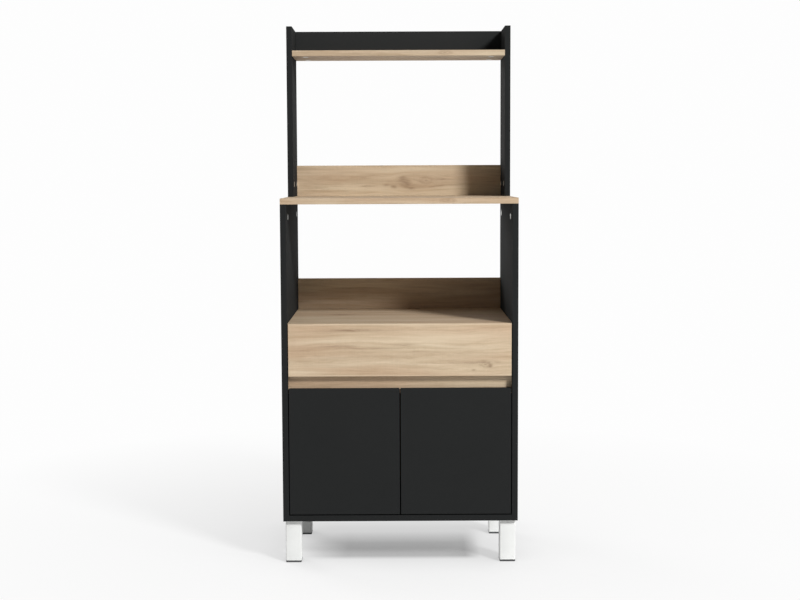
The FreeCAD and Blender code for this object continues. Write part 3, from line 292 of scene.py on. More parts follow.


# knots and streaks: x, then the height (on a top face the depth), half length, half width, strength
# a streak of less than 0 is a pale one; a tone below 1 is painted shade that darkens the whole board
oakBoards = {
    "drawer_front": {
        "seed": 2.0, "heart": (0.10, 0.520),
        "knots": [(0.217, 0.513, 0.018, 0.008, 0.62)],
        "streaks": [(-0.135, 0.601, 0.040, 0.0026, 0.6), (-0.105, 0.6015, 0.075, 0.004, 0.3),
                    (-0.155, 0.561, 0.050, 0.0045, 0.35), (0.010, 0.564, 0.034, 0.003, 0.35),
                    (-0.060, 0.5555, 0.13, 0.0022, 0.3), (0.13, 0.584, 0.17, 0.013, -0.5),
                    (0.20, 0.517, 0.10, 0.0025, 0.45), (0.229, 0.511, 0.006, 0.003, 0.55),
                    (-0.14, 0.530, 0.15, 0.020, 0.13), (0.13, 0.535, 0.16, 0.018, 0.10),
                    (0.187, 0.500, 0.005, 0.003, 0.4), (-0.25, 0.494, 0.06, 0.006, -0.35),
                    # the last two streaks, pale lines along the top and bottom rims, are painted highlight
                    # on the eased edges
                    (0.0, 0.6165, 0.45, 0.0022, -0.45), (0.0, 0.4860, 0.45, 0.0016, -0.3)]},
    "mid_backsplash": {
        "seed": 5.2, "heart": (0.03, 0.985),
        "knots": [(0.076, 0.9775, 0.024, 0.013, 0.34), (0.020, 0.972, 0.022, 0.014, 0.16)],
        "streaks": [(0.010, 0.976, 0.011, 0.007, 0.45), (0.023, 0.970, 0.009, 0.005, 0.5),
                    (0.036, 0.964, 0.009, 0.004, 0.6), (-0.015, 0.963, 0.009, 0.004, 0.55),
                    (-0.036, 0.965, 0.008, 0.004, 0.35), (-0.085, 0.962, 0.022, 0.003, 0.4),
                    (-0.225, 0.959, 0.028, 0.0028, 0.3), (0.125, 0.980, 0.028, 0.003, 0.4),
                    (0.12, 0.965, 0.06, 0.0025, 0.35), (-0.12, 0.969, 0.17, 0.012, 0.13),
                    (0.0, 1.006, 0.16, 0.009, -0.5)]},
    "low_backsplash": {
        "seed": 8.4, "heart": (-0.15, 0.67), "knots": [],
        "streaks": [(0.05, 0.66, 0.10, 0.004, 0.3), (-0.13, 0.675, 0.08, 0.003, 0.25)]},
    "mid_shelf": {
        # its tone of 0.96 is painted shade
        "seed": 11.1, "heart": (0.13, -0.10), "tone": 0.96,
        "knots": [(0.123, 0.929, 0.024, 0.007, 0.5), (0.11, -0.11, 0.04, 0.02, 0.5)],
        "streaks": [(-0.10, 0.0, 0.14, 0.008, 0.25), (0.1, -0.11, 0.12, 0.006, 0.3)]},
    "top_shelf": {
        # its tone of 0.9 is painted shade that darkens the whole shelf
        "seed": 14.6, "heart": (0.12, 0.12), "tone": 0.9,
        "knots": [(0.125, 1.319, 0.022, 0.006, 0.45), (0.11, 0.10, 0.03, 0.014, 0.45)],
        "streaks": [(-0.1, 1.317, 0.06, 0.003, 0.2)]},
    "cabinet_top": {
        # its tone of 0.85 is painted shade that darkens the whole top under the mid shelf
        "seed": 17.3, "heart": (-0.05, 0.04), "tone": 0.85, "knots": [(-0.16, 0.02, 0.034, 0.016, 0.45)],
        "streaks": [(0.1, -0.05, 0.12, 0.008, 0.25), (-0.14, 0.02, 0.12, 0.005, 0.3)]},
    "grip_rail": {
        "seed": 20.9, "heart": (0.2, 0.45), "knots": [],
        "streaks": [(-0.15, 0.462, 0.08, 0.003, 0.2)]},
}
for board, figure in oakBoards.items():
    finishWith(makeOak(f"oak_{board}", figure), board)
print("oak boards finished")


# black boards: fine pearl texture, a slightly glossier edge band
black = {"face": linear(35, 36, 36), "fleck": linear(43, 44, 44), "band": linear(36, 37, 37),
         "cloudsPerMetre": 6, "cloudShare": 0.12, "pearlsPerMetre": 900, "softPearlsPerMetre": 360,
         "softShare": 0.6, "fleckLimits": (0.52, 0.75), "fleckShare": 0.55,
         "smooth": 0.88, "rough": 0.94, "specular": 0.06, "bump": 0.35, "depth": 0.0001,
         "bandBelow": 0.3, "bandGloss": 0.10, "bandRelief": 0.2}


def makeBlackBoard(name, faceAxis, tone=1.0):
    # faceAxis is the way its broad faces look; the narrow ones are edge band
    material, tree = startMaterial(name)
    where = coords(tree)
    cloud = noise(tree, where["Object"], black["cloudsPerMetre"], 3)
    pearl = noise(tree, where["Object"], black["pearlsPerMetre"], 2, 0.55)
    soft = noise(tree, where["Object"], black["softPearlsPerMetre"], 1)
    fleck = calc(tree, "MULTIPLY", remap(tree, pearl, *black["fleckLimits"]), black["fleckShare"])
    colour = blendColours(tree, fleck, black["face"], black["fleck"])
    cloudShare = remap(tree, cloud, *swing["hard"], 0, black["cloudShare"])
    colour = blendColours(tree, cloudShare, colour, black["fleck"])
    faceShare = split(tree, absolute(tree, where["Normal"]))["xyz".index(faceAxis)]
    isBand = calc(tree, "LESS_THAN", faceShare, black["bandBelow"])
    colour = blendColours(tree, isBand, colour, black["band"])
    # a tone above 1 lightens the whole board; for the top back panel it is painted light
    colour = blendColours(tree, 1.0, colour, (tone, tone, tone, 1), "MULTIPLY")
    roughness = calc(tree, "SUBTRACT", remap(tree, cloud, *swing["soft"], black["smooth"], black["rough"]),
                     calc(tree, "MULTIPLY", isBand, black["bandGloss"]))
    height = calc(tree, "ADD", pearl, calc(tree, "MULTIPLY", soft, black["softShare"]))
    height = calc(tree, "MULTIPLY", height, remap(tree, isBand, 0, 1, 1.0, black["bandRelief"]))
    shade(tree, {"Base Color": colour, "Roughness": roughness, "Specular IOR Level": black["specular"],
                 "Normal": bump(tree, height, black["bump"], black["depth"])})
    return material


finishWith(makeBlackBoard("black_upright", "x"), "side_panel_left", "side_panel_right",
           "upper_side_left", "upper_side_right")
finishWith(makeBlackBoard("black_front", "y", 1.06), "door_left", "door_right")
# the top back panel is lifted to 1.5 times as painted light, lighter than the other black boards
finishWith(makeBlackBoard("black_back_rail_painted_light", "y", 1.5), "top_back_panel")
finishWith(makeBlackBoard("black_level", "z"), "bottom_panel")
print("black boards finished")


# drawer box: white boards and thin hardboard
white = {"face": linear(231, 231, 228), "bright": linear(238, 238, 236), "pit": linear(214, 214, 211),
         "cloudsPerMetre": 7, "pearlsPerMetre": 1100, "pitLimits": (0.55, 0.8), "pitShare": 0.25,
         "smooth": 0.42, "rough": 0.52, "specular": 0.4, "bump": 0.25, "depth": 0.0001}
hardboard = {"dark": linear(118, 84, 56), "light": linear(150, 112, 78), "cloud": linear(134, 97, 66),
             "wispsPerMetre": 260, "cloudsPerMetre": 9, "cloudShare": 0.35,
             "press": linear(96, 68, 45), "pressWaves": 2900, "pressShare": 0.28, "pressRelief": 0.5,
             "smooth": 0.42, "rough": 0.72, "specular": 0.35, "bump": 0.4, "depth": 0.0002}


def makeWhiteBoard():
    material, tree = startMaterial("white_drawer_board")
    where = coords(tree)
    cloud = noise(tree, where["Object"], white["cloudsPerMetre"], 3)
    pearl = noise(tree, where["Object"], white["pearlsPerMetre"], 2)
    colour = blendColours(tree, remap(tree, cloud, *swing["hard"]), white["face"], white["bright"])
    pits = remap(tree, pearl, *white["pitLimits"], 0, white["pitShare"])
    colour = blendColours(tree, pits, colour, white["pit"])
    roughness = remap(tree, pearl, *swing["soft"], white["smooth"], white["rough"])
    shade(tree, {"Base Color": colour, "Roughness": roughness, "Specular IOR Level": white["specular"],
                 "Normal": bump(tree, pearl, white["bump"], white["depth"])})
    return material


def makeHardboard():
    material, tree = startMaterial("hardboard")
    where = coords(tree)
    x, y, z = split(tree, where["Object"])
    wisps = noise(tree, where["Object"], hardboard["wispsPerMetre"], 4, 0.65, 0.6)
    cloud = noise(tree, where["Object"], hardboard["cloudsPerMetre"], 3)
    colour = blendColours(tree, remap(tree, wisps, *swing["soft"]), hardboard["dark"], hardboard["light"])
    cloudShare = remap(tree, cloud, *swing["hard"], 0, hardboard["cloudShare"])
    colour = blendColours(tree, cloudShare, colour, hardboard["cloud"])
    # the underside and the back keep the waffle of the press screen
    facing = split(tree, where["Normal"])
    rough = calc(tree, "MAXIMUM", calc(tree, "GREATER_THAN", facing[1], squareOn),
                 calc(tree, "LESS_THAN", facing[2], -squareOn))
    across = calc(tree, "SINE", calc(tree, "MULTIPLY", x, hardboard["pressWaves"]))
    upDown = calc(tree, "SINE", calc(tree, "MULTIPLY", calc(tree, "ADD", y, z), hardboard["pressWaves"]))
    screen = calc(tree, "MULTIPLY", calc(tree, "MULTIPLY", across, upDown), rough)
    pressed = remap(tree, screen, -1, 1, 0, hardboard["pressShare"])
    colour = blendColours(tree, pressed, colour, hardboard["press"])
    height = calc(tree, "ADD", calc(tree, "MULTIPLY", screen, hardboard["pressRelief"]), wisps)
    roughness = remap(tree, rough, 0, 1, hardboard["smooth"], hardboard["rough"])
    shade(tree, {"Base Color": colour, "Roughness": roughness, "Specular IOR Level": hardboard["specular"],
                 "Normal": bump(tree, height, hardboard["bump"], hardboard["depth"])})
    return material


finishWith(makeWhiteBoard(), "drawer_side_left", "drawer_side_right", "drawer_back")
finishWith(makeHardboard(), "cabinet_back", "drawer_bottom")
print("drawer box finished")


# finishes of the fittings
coats = {  # two tones, roughness, grains per metre in the skin, their depth, specular
    "white_leg_paint": (linear(236, 237, 235), linear(229, 230, 228), 0.38, 700, 0.00012, 0.4),
    "dark_pad_plastic": (linear(62, 63, 64), linear(78, 79, 80), 0.55, 1500, 0.0001, 0.35),
    "runner_enamel": (linear(238, 238, 236), linear(230, 230, 228), 0.30, 900, 0.00006, 0.5),
    "roller_nylon": (linear(226, 225, 218), linear(216, 215, 207), 0.42, 1300, 0.00008, 0.5),
    "soft_bumper": (linear(198, 200, 198), linear(184, 187, 185), 0.5, 2000, 0.00006, 0.5),
}
platings = {  # two tones, roughness, marks per metre, their depth
    "zinc_plated_steel": (linear(196, 198, 200), linear(172, 175, 178), 0.34, 2200, 0.00005),
    "nickel_hinge": (linear(205, 202, 194), linear(188, 185, 178), 0.26, 1600, 0.00005),
    "cast_zinc_cam": (linear(210, 210, 207), linear(188, 188, 186), 0.40, 1800, 0.0001),
}
coat = {"cloudsPerMetre": 14, "skinLimits": (0.5, 0.8), "skinShare": 0.2, "smoother": 0.03,
        "rougher": 0.04, "bump": 0.3}
plating = {"cloudsPerMetre": 60, "smoother": 0.06, "rougher": 0.08, "bump": 0.25}
beech = {"light": linear(208, 170, 126), "dark": linear(184, 142, 98), "fleck": linear(150, 108, 72),
         "streaksPerMetre": 300, "flecksPerMetre": 1600, "fleckLimits": (0.6, 0.75), "fleckShare": 0.5,
         "smooth": 0.6, "rough": 0.72, "bump": 0.3, "depth": 0.0001}


def makeCoat(name):
    # painted or moulded: a slow change of tone and a fine skin
    colour, second, roughness, grain, depth, specular = coats[name]
    material, tree = startMaterial(name)
    where = coords(tree)
    cloud = noise(tree, where["Object"], coat["cloudsPerMetre"], 3)
    skin = noise(tree, where["Object"], grain, 2)
    tone = blendColours(tree, remap(tree, cloud, *swing["hard"]), colour, second)
    grains = remap(tree, skin, *coat["skinLimits"], 0, coat["skinShare"])
    tone = blendColours(tree, grains, tone, second)
    low, high = roughness - coat["smoother"], roughness + coat["rougher"]
    shade(tree, {"Base Color": tone, "Roughness": remap(tree, cloud, *swing["soft"], low, high),
                 "Specular IOR Level": specular, "Normal": bump(tree, skin, coat["bump"], depth)})
    return material


def makePlated(name):
    # plated or cast metal: cloudy reflection and fine marks
    colour, second, roughness, grain, depth = platings[name]
    material, tree = startMaterial(name)
    where = coords(tree)
    cloud = noise(tree, where["Object"], plating["cloudsPerMetre"], 4)
    marks = noise(tree, where["Object"], grain, 3)
    tone = blendColours(tree, remap(tree, cloud, *swing["soft"]), colour, second)
    low, high = roughness - plating["smoother"], roughness + plating["rougher"]
    shade(tree, {"Base Color": tone, "Metallic": 1.0,
                 "Roughness": remap(tree, marks, *swing["soft"], low, high),
                 "Normal": bump(tree, marks, plating["bump"], depth)})
    return material


def makeBeech():
    material, tree = startMaterial("beech_dowel")
    where = coords(tree)
    streak = noise(tree, where["Object"], beech["streaksPerMetre"], 4, 0.6, 0.4)
    fleck = noise(tree, where["Object"], beech["flecksPerMetre"], 1)
    tone = blendColours(tree, remap(tree, streak, *swing["soft"]), beech["light"], beech["dark"])
    flecks = remap(tree, fleck, *beech["fleckLimits"], 0, beech["fleckShare"])
    tone = blendColours(tree, flecks, tone, beech["fleck"])
    roughness = remap(tree, streak, *swing["soft"], beech["smooth"], beech["rough"])
    shade(tree, {"Base Color": tone, "Roughness": roughness,
                 "Normal": bump(tree, fleck, beech["bump"], beech["depth"])})
    return material


legPaint = makeCoat("white_leg_paint")
padPlastic = makeCoat("dark_pad_plastic")
runnerEnamel = makeCoat("runner_enamel")
screwSteel = makePlated("zinc_plated_steel")
hingeNickel = makePlated("nickel_hinge")
camZinc = makePlated("cast_zinc_cam")
finishWith(makeCoat("roller_nylon"), "front_roller_left", "front_roller_right",
           "rear_roller_left", "rear_roller_right")
finishWith(makeCoat("soft_bumper"), "bumpers")
finishWith(screwSteel, "hinge_pins", "cam_bolts", "drawer_cam_bolts", "front_axles", "rear_axles")
finishWith(makeBeech(), "dowels", "drawer_dowels")
print("fittings finished")


# modelling by hand
mergeGap = 1e-6  # corners closer than this become one
planeGap = 1e-5  # a corner this near to a plane is on it


def startClean():
    if bpy.context.object and bpy.context.object.mode != "OBJECT":
        bpy.ops.object.mode_set(mode="OBJECT")
    bpy.ops.object.select_all(action="DESELECT")


def choose(piece):
    startClean()
    piece.select_set(True)
    bpy.context.view_layer.objects.active = piece


def edit(piece):
    choose(piece)
    bpy.ops.object.mode_set(mode="EDIT")


def addBlock(name, low, high):
    startClean()
    middle = [(a + b) / 2 for a, b in zip(low, high)]
    bpy.ops.mesh.primitive_cube_add(size=1, location=middle, scale=[b - a for a, b in zip(low, high)])
    block = bpy.context.object
    block.name = name
    bpy.ops.object.transform_apply(location=True, rotation=True, scale=True)
    return block


def pickEdges(piece, test):  # in edit mode: selects the edges whose two ends pass the test
    bpy.ops.mesh.select_mode(type="EDGE")
    bpy.ops.mesh.select_all(action="DESELECT")
    bpy.ops.object.mode_set(mode="OBJECT")
    points = piece.data.vertices
    for edge in piece.data.edges:
        edge.select = test(points[edge.vertices[0]].co, points[edge.vertices[1]].co)
    bpy.ops.object.mode_set(mode="EDIT")


def pickFaces(piece, test):  # in edit mode: selects the faces whose middle and normal pass the test
    bpy.ops.mesh.select_mode(type="FACE")
    bpy.ops.mesh.select_all(action="DESELECT")
    bpy.ops.object.mode_set(mode="OBJECT")
    for face in piece.data.polygons:
        face.select = test(face.center, face.normal)
    bpy.ops.object.mode_set(mode="EDIT")


def upright(a, b):
    return abs(a.z - b.z) > planeGap


def facesUp(middle, normal):
    return normal.z > 0.9


def facesDown(middle, normal):
    return normal.z < -0.9


def extrudeUp(height):
    bpy.ops.mesh.extrude_region_move(TRANSFORM_OT_translate={"value": (0, 0, height)})


def resizeAcross(factor, centre):  # in X and Y, about a point
    bpy.ops.transform.resize(value=(factor, factor, 1), center_override=centre)


def smoothSides(angle=35):  # edges sharper than the angle stay sharp
    bpy.ops.object.shade_smooth_by_angle(angle=math.radians(angle))


def applyBevel(piece, width, segments, angle):
    choose(piece)
    modifier = piece.modifiers.new("easedEdges", "BEVEL")
    modifier.width, modifier.segments = width, segments
    modifier.limit_method, modifier.angle_limit = "ANGLE", math.radians(angle)
    bpy.ops.object.modifier_apply(modifier=modifier.name)


def joinInto(piece, *others):
    choose(piece)
    for other in others:
        other.select_set(True)
    bpy.ops.object.join()
    return piece


def copyNode(node):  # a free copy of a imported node, in edit mode with its doubles merged
    startClean()
    copy = nodes[node].copy()
    copy.data = nodes[node].data.copy()
    copy.parent = None
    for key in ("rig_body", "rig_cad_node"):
        del copy[key]
    scene.collection.objects.link(copy)
    edit(copy)
    bpy.ops.mesh.select_all(action="SELECT")
    bpy.ops.mesh.remove_doubles(threshold=mergeGap)
    return copy


def copyPiece(piece, name, matrix):
    startClean()
    copy = piece.copy()
    copy.data = piece.data.copy()
    copy.name = name
    scene.collection.objects.link(copy)
    copy.data.transform(matrix)
    if matrix.determinant() < 0:  # a mirrored copy comes inside out
        edit(copy)
        bpy.ops.mesh.select_all(action="SELECT")
        bpy.ops.mesh.normals_make_consistent(inside=False)
        bpy.ops.object.mode_set(mode="OBJECT")
    return copy


def plainName(node):  # cam_locks becomes camLocks
    first, *others = node.split("_")
    return first + "".join(word.capitalize() for word in others)


def dress(piece, material, body, replaced):
    piece.data.materials.clear()
    piece.data.materials.append(material)
    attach(piece, body)
    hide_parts(replaced)


# the white steel legs
leg = {"tube": 0.040, "corner": 0.0022, "wall": 0.0015, "open": 0.014, "plate": 0.002, "plateCorner": 0.004,
       "plateEase": 0.0003, "weld": 0.0022, "flare": 1.09, "cornerSteps": 5}


def makeLeg():
    # the front left leg; its plate reaches inwards and backwards
    low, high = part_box("leg_front_left")
    top = high.z - leg["plate"]
    tube = addBlock("legTube", low, (low.x + leg["tube"], low.y + leg["tube"], top))
    edit(tube)
    pickEdges(tube, upright)
    bpy.ops.mesh.bevel(offset=leg["corner"], segments=leg["cornerSteps"], affect="EDGES")
    bpy.ops.mesh.select_all(action="SELECT")
    bpy.ops.mesh.bisect(plane_co=(0, 0, top - leg["weld"]), plane_no=(0, 0, 1))
    pickEdges(tube, lambda a, b: min(a.z, b.z) > top - planeGap)
    resizeAcross(leg["flare"], (low.x + leg["tube"] / 2, low.y + leg["tube"] / 2, top))  # the weld
    pickFaces(tube, facesDown)
    bpy.ops.mesh.inset(thickness=leg["wall"])
    extrudeUp(leg["open"])  # the foot is open, and the pad closes it again
    bpy.ops.object.mode_set(mode="OBJECT")
    plate = addBlock("legPlate", (low.x, low.y, top), high)
    edit(plate)
    pickEdges(plate, upright)
    bpy.ops.mesh.bevel(offset=leg["plateCorner"], segments=leg["cornerSteps"], affect="EDGES")
    bpy.ops.object.mode_set(mode="OBJECT")
    applyBevel(plate, leg["plateEase"], 2, 60)
    piece = joinInto(tube, plate)
    smoothSides()
    return piece


def mirrored(x=1, y=1, middleY=0.0):
    there, back = Matrix.Translation((0, middleY, 0)), Matrix.Translation((0, -middleY, 0))
    return there @ Matrix.Diagonal((x, y, 1, 1)) @ back


firstLeg = makeLeg()
firstLeg.name = plainName("leg_front_left")
frontLow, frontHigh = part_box("leg_front_left")
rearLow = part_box("leg_rear_left")[0]
turnedBack = mirrored(y=-1, middleY=(frontLow.y + frontHigh.y) / 2)  # the rear plate reaches forwards
toRear = Matrix.Translation((rearLow.x - frontLow.x, rearLow.y - frontLow.y, 0)) @ turnedBack
legs = {"leg_front_left": firstLeg}
for node, place in (("leg_front_right", mirrored(x=-1)), ("leg_rear_left", toRear),
                    ("leg_rear_right", mirrored(x=-1) @ toRear)):
    legs[node] = copyPiece(firstLeg, plainName(node), place)
for node, piece in legs.items():
    dress(piece, legPaint, "carcass", node)
print("legs modelled")

# the dark pads pushed into the legs
pad = {"half": 0.020, "thickness": 0.005, "corner": 0.003, "foot": 0.0012, "ease": 0.0003, "cornerSteps": 5,
       "plugHalf": 0.0182, "plugTop": 0.017, "plugWall": 0.003, "plugHollow": 0.010}


def makePad():
    # at the middle of the floor
    half = pad["half"]
    sole = addBlock("padSole", (-half, -half, 0), (half, half, pad["thickness"]))
    edit(sole)
    pickEdges(sole, upright)
    bpy.ops.mesh.bevel(offset=pad["corner"], segments=pad["cornerSteps"], affect="EDGES")
    pickEdges(sole, lambda a, b: max(a.z, b.z) < planeGap)
    bpy.ops.mesh.bevel(offset=pad["foot"], segments=2, affect="EDGES")
    pickFaces(sole, facesUp)
    bpy.ops.mesh.inset(thickness=half - pad["plugHalf"])
    extrudeUp(pad["plugTop"] - pad["thickness"])
    bpy.ops.mesh.inset(thickness=pad["plugWall"])
    extrudeUp(-pad["plugHollow"])
    bpy.ops.object.mode_set(mode="OBJECT")
    applyBevel(sole, pad["ease"], 2, 50)
    smoothSides()
    return sole


firstPad = makePad()
for node in legs:
    low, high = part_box(node)
    onLeft, atFront = low.x < 0, "front" in node
    middleX = low.x + pad["half"] if onLeft else high.x - pad["half"]
    middleY = low.y + pad["half"] if atFront else high.y - pad["half"]
    name = plainName(node.replace("leg_", "leg_pad_"))
    piece = copyPiece(firstPad, name, Matrix.Translation((middleX, middleY, 0)))
    dress(piece, padPlastic, "carcass", "leg_pads")
bpy.data.objects.remove(firstPad)
print("pads modelled")

# screws with a cross recess, remade from one pattern and put where each packed screw sits
screw = {"head": 0.0035, "headHeight": 0.0008, "headEase": 0.0006, "shank": 0.00175, "point": 0.0035,
         "tip": 0.0004, "sides": 24, "recessArm": 0.0018, "recessHalf": 0.00042, "recessDepth": 0.0006,
         "recessTop": 0.002, "recessNarrow": 0.6, "endBand": 0.0012, "turn": 37}


def makeScrew(length):
    # upright at the middle of the floor: the seat under its head is at zero and its point looks down
    startClean()
    bpy.ops.mesh.primitive_cylinder_add(vertices=screw["sides"], radius=screw["head"],
                                        depth=screw["headHeight"], location=(0, 0, screw["headHeight"] / 2))
    body = bpy.context.object
    bpy.ops.object.transform_apply(location=True, rotation=True, scale=True)
    edit(body)
    pickFaces(body, facesUp)
    resizeAcross(1 - screw["headEase"] / screw["head"], (0, 0, screw["headHeight"]))
    pickFaces(body, facesDown)
    bpy.ops.mesh.inset(thickness=screw["head"] - screw["shank"])
    extrudeUp(screw["point"] - length)
    extrudeUp(-screw["point"])
    resizeAcross(screw["tip"] / screw["shank"], (0, 0, -length))
    bpy.ops.object.mode_set(mode="OBJECT")
    arm, half, top = screw["recessArm"], screw["recessHalf"], screw["recessTop"]
    deep = screw["headHeight"] - screw["recessDepth"]
    for x, y in ((arm, half), (half, arm)):
        cutter = addBlock("recess", (-x, -y, deep), (x, y, top))
        edit(cutter)
        pickFaces(cutter, facesDown)
        resizeAcross(screw["recessNarrow"], (0, 0, deep))
        choose(body)
        cut = body.modifiers.new("recess", "BOOLEAN")
        cut.operation, cut.solver, cut.object = "DIFFERENCE", "EXACT", cutter
        bpy.ops.object.modifier_apply(modifier=cut.name)
        bpy.data.objects.remove(cutter)
    smoothSides()
    return body


def loosePieces(node):
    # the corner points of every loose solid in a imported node
    copyNode(node)
    bpy.ops.mesh.separate(type="LOOSE")
    bpy.ops.object.mode_set(mode="OBJECT")
    parts = [each for each in bpy.context.selected_objects if each.type == "MESH"]
    places = [[point.co.copy() for point in part.data.vertices] for part in parts]
    for part in parts:
        bpy.data.objects.remove(part)
    return places


def seatOf(points):
    # the seat under the head, the way that the head looks, and the length from the seat to the point
    low = Vector(min(p[i] for p in points) for i in range(3))
    high = Vector(max(p[i] for p in points) for i in range(3))
    axis = max(range(3), key=lambda i: high[i] - low[i])
    middle = (low + high) / 2

    def width(end):
        return max((p - middle - Vector(p[i] - middle[i] if i == axis else 0 for i in range(3))).length
                   for p in points if abs(p[axis] - end) < screw["endBand"])

    towardsHead = 1 if width(high[axis]) > width(low[axis]) else -1
    up = Vector(towardsHead if i == axis else 0 for i in range(3))
    seat = middle.copy()
    seat[axis] = (high if towardsHead > 0 else low)[axis] - towardsHead * screw["headHeight"]
    return seat, up, high[axis] - low[axis] - screw["headHeight"]


screwPatterns = {}
screwNodes = {
    "runner_screws": "carcass", "hinge_plate_screws": "carcass", "leg_screws": "carcass",
    "hinge_cup_screws_left": "door_left", "hinge_cup_screws_right": "door_right",
    "drawer_back_screws": "drawer", "drawer_runner_screws": "drawer",
}
for node, body in screwNodes.items():
    copies = []
    for number, points in enumerate(loosePieces(node)):
        seat, up, length = seatOf(points)
        size = round(length * 1000)  # whole millimetres
        if size not in screwPatterns:
            screwPatterns[size] = makeScrew(length)
        turn = up.to_track_quat("Z", "Y").to_matrix().to_4x4()
        twist = Matrix.Rotation(math.radians(screw["turn"] * number), 4, "Z")  # each stops at its own turn
        place = Matrix.Translation(seat) @ turn @ twist
        copies.append(copyPiece(screwPatterns[size], f"{node}_{number}", place))
    piece = joinInto(copies[0], *copies[1:])
    piece.name = plainName(node)
    dress(piece, screwSteel, body, node)
for pattern in screwPatterns.values():
    bpy.data.objects.remove(pattern)
print("screws modelled")

# pressed and cast fittings get rounded edges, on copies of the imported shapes
easing = [  # node, width of the rounding, body, finish, slot
    ("hinge_arms_{side}", 0.0004, "carcass", hingeNickel, "hinge_nickel"),
    ("hinge_plates_{side}", 0.0005, "carcass", hingeNickel, "hinge_nickel"),
    ("hinge_cups_{side}", 0.0003, "door_{side}", hingeNickel, "hinge_nickel"),
    ("hinge_links_{side}", 0.0003, "hinge_links_{side}", hingeNickel, "hinge_nickel"),
    ("cam_locks", 0.00025, "carcass", camZinc, "cam_zinc"),
    ("drawer_cams", 0.00025, "drawer", camZinc, "cam_zinc"),
    ("cabinet_runner_{side}", 0.0003, "carcass", runnerEnamel, "runner_enamel"),
    ("drawer_runner_{side}", 0.0003, "drawer", runnerEnamel, "runner_enamel"),
]
rounding = {"steps": 2, "flatBelow": 0.5, "roundAbove": 40, "smoothBelow": 38}  # angles in degrees


def easedCopy(node, width):
    copy = copyNode(node)
    copy.name = plainName(node)
    bpy.ops.mesh.dissolve_limited(angle_limit=math.radians(rounding["flatBelow"]))
    bpy.ops.object.mode_set(mode="OBJECT")
    applyBevel(copy, width, rounding["steps"], rounding["roundAbove"])
    smoothSides(rounding["smoothBelow"])
    even = copy.modifiers.new("evenNormals", "WEIGHTED_NORMAL")
    even.keep_sharp = True
    bpy.ops.object.modifier_apply(modifier=even.name)
    return copy


for fitting, width, body, material, slot in easing:
    for side in ("left", "right") if "{side}" in fitting else ("",):
        node = fitting.format(side=side)
        dress(easedCopy(node, width), material, body.format(side=side), node)
print("fittings eased")

# camera: place in metres, turns in degrees, lens in pixels of a picture of this width
camera = {"pictureWidth": 800, "focalPixels": 1303.86, "shiftPixels": -20, "sensor": 36,
          "place": (-0.00564, -3.47647, 0.99031), "down": 4.5639, "turn": -0.1187, "roll": -0.2365}


def placeCamera():
    lens = bpy.data.cameras.new("camera")
    lens.sensor_width, lens.sensor_fit = camera["sensor"], "HORIZONTAL"
    lens.lens = camera["focalPixels"] * camera["sensor"] / camera["pictureWidth"]
    lens.shift_y = camera["shiftPixels"] / camera["pictureWidth"]
    viewer = bpy.data.objects.new("camera", lens)
    turn = Matrix.Rotation(math.radians(camera["turn"]), 4, "Z")
    tilt = Matrix.Rotation(math.radians(90 - camera["down"]), 4, "X")
    roll = Matrix.Rotation(math.radians(camera["roll"]), 4, "Z")
    viewer.matrix_world = Matrix.Translation(camera["place"]) @ turn @ tilt @ roll
    scene.collection.objects.link(viewer)
    scene.camera = viewer


placeCamera()

# light: three soft lamps and a weak even light, which the camera sees as a white backdrop
# places and sizes in metres, power in watts
lamps = {
    "key": {"place": (5.3, -6.1, 5.85), "aim": (0, 0, 0.7), "size": 1.9, "power": 900},
    "side": {"place": (5.2, -2.5, 2.8), "aim": (0, 0.1, 0.3), "size": 1.6, "power": 34},
    "back": {"place": (-3.5, 3.6, 1.6), "aim": (0, 0, 0.7), "size": 2.4, "power": 130},
}
studio = {"ambient": 0.10, "backdrop": 0.985}
plainWhite = (1, 1, 1, 1)


def hangLamp(name, place, aim, size, power):
    lamp = bpy.data.lights.new(name, "AREA")
    lamp.shape, lamp.size, lamp.energy = "DISK", size, power
    holder = bpy.data.objects.new(name, lamp)
    holder.location = place
    holder.rotation_euler = (Vector(aim) - Vector(place)).to_track_quat("-Z", "Y").to_euler()
    scene.collection.objects.link(holder)


for name, values in lamps.items():
    hangLamp(name, **values)


def seenDirectly(tree):  # camera, glossy and transmission rays
    path = put(tree, "ShaderNodeLightPath").outputs
    return calc(tree, "MAXIMUM", calc(tree, "MAXIMUM", path["Is Camera Ray"], path["Is Glossy Ray"]),
                path["Is Transmission Ray"])


def makeBackdrop():
    world = bpy.data.worlds.new("studio")
    scene.world = world
    world.use_nodes = True
    sky = world.node_tree
    sky.nodes.clear()
    strength = remap(sky, seenDirectly(sky), 0, 1, studio["ambient"], studio["backdrop"])
    background = put(sky, "ShaderNodeBackground", {"Color": plainWhite, "Strength": strength})
    sky.links.new(background.outputs[0], put(sky, "ShaderNodeOutputWorld").inputs["Surface"])


makeBackdrop()

# pale floor: white where it is seen, with the stand's shadow and the dark under the cupboard
# distances in metres, and a pair is where a fade starts and ends
floor = {"half": 30, "below": 0.0002, "bounce": 0.8, "lift": 0.15, "glow": 0.78, "fade": (0.45, 1.7),
         "contact": 0.145, "surround": 0.8, "surroundShare": 0.18, "samples": 16,
         "rim": 0.22, "coreLeft": (-0.26, -0.14), "coreRight": (0.17, 0.21),
         "coreFront": (-0.165, -0.135), "coreBack": (-0.01, 0.10), "deepEnd": (-0.10, 0.01), "deep": 1.28}


def closeness(tree, distance):
    corners = put(tree, "ShaderNodeAmbientOcclusion", {"Distance": distance}, samples=floor["samples"])
    return corners.outputs["AO"]


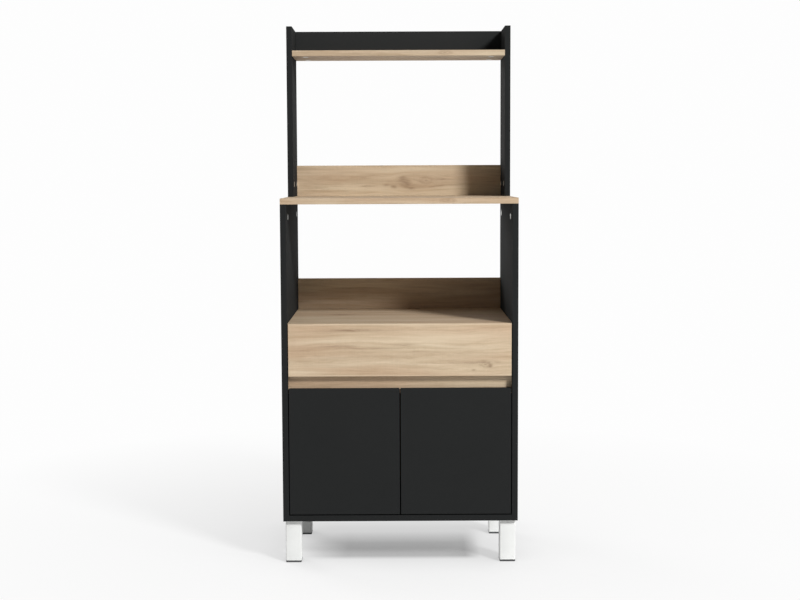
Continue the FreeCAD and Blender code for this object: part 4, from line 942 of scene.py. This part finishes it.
def makePaleFloor():
    material, tree = startMaterial("pale_floor")
    there = coords(tree)["Object"]
    atX, atY = split(tree, there)[:2]
    core = remap(tree, atX, *floor["coreLeft"])  # where no lamp reaches under the cupboard
    core = calc(tree, "MULTIPLY", core, remap(tree, atX, *floor["coreRight"], 1, 0))
    core = calc(tree, "MULTIPLY", core, remap(tree, atY, *floor["coreBack"], 1, 0))
    core = calc(tree, "MULTIPLY", core, remap(tree, atY, *floor["coreFront"]))
    deepest = remap(tree, atY, *floor["deepEnd"], floor["deep"], 1.0)  # darker towards the front
    share = calc(tree, "MULTIPLY", remap(tree, core, 0, 1, floor["rim"], 1.0), deepest)
    hidden = calc(tree, "SUBTRACT", 1.0, closeness(tree, floor["contact"]))
    near = calc(tree, "SUBTRACT", 1.0, calc(tree, "MULTIPLY", hidden, share))
    wide = remap(tree, closeness(tree, floor["surround"]), 0.0, 0.85, 1 - floor["surroundShare"], 1.0)
    glowing = calc(tree, "MULTIPLY", calc(tree, "MULTIPLY", near, wide), studio["backdrop"])
    away = put(tree, "ShaderNodeVectorMath", {0: there}, operation="LENGTH").outputs["Value"]
    fade = remap(tree, away, *floor["fade"], floor["glow"], 1.0)
    matt = put(tree, "ShaderNodeBsdfDiffuse", {"Color": (floor["bounce"],) * 3 + (1,)}).outputs[0]
    lift = put(tree, "ShaderNodeEmission", {"Color": plainWhite, "Strength": floor["lift"]}).outputs[0]
    lit = put(tree, "ShaderNodeBsdfDiffuse", {"Color": plainWhite}).outputs[0]
    glow = put(tree, "ShaderNodeEmission", {"Color": plainWhite, "Strength": glowing}).outputs[0]
    unseen = put(tree, "ShaderNodeAddShader", {0: matt, 1: lift}).outputs[0]  # what lights the stand
    seen = put(tree, "ShaderNodeMixShader", {0: fade, 1: lit, 2: glow}).outputs[0]
    whole = put(tree, "ShaderNodeMixShader", {0: seenDirectly(tree), 1: unseen, 2: seen}).outputs[0]
    tree.links.new(whole, put(tree, "ShaderNodeOutputMaterial").inputs["Surface"])
    return material


startClean()
bpy.ops.mesh.primitive_plane_add(size=2 * floor["half"], location=(0, 0, -floor["below"]))
ground = bpy.context.object
ground.name = "floor"
ground.data.materials.append(makePaleFloor())
scene.view_settings.view_transform = "Standard"
print("camera, light and floor set")
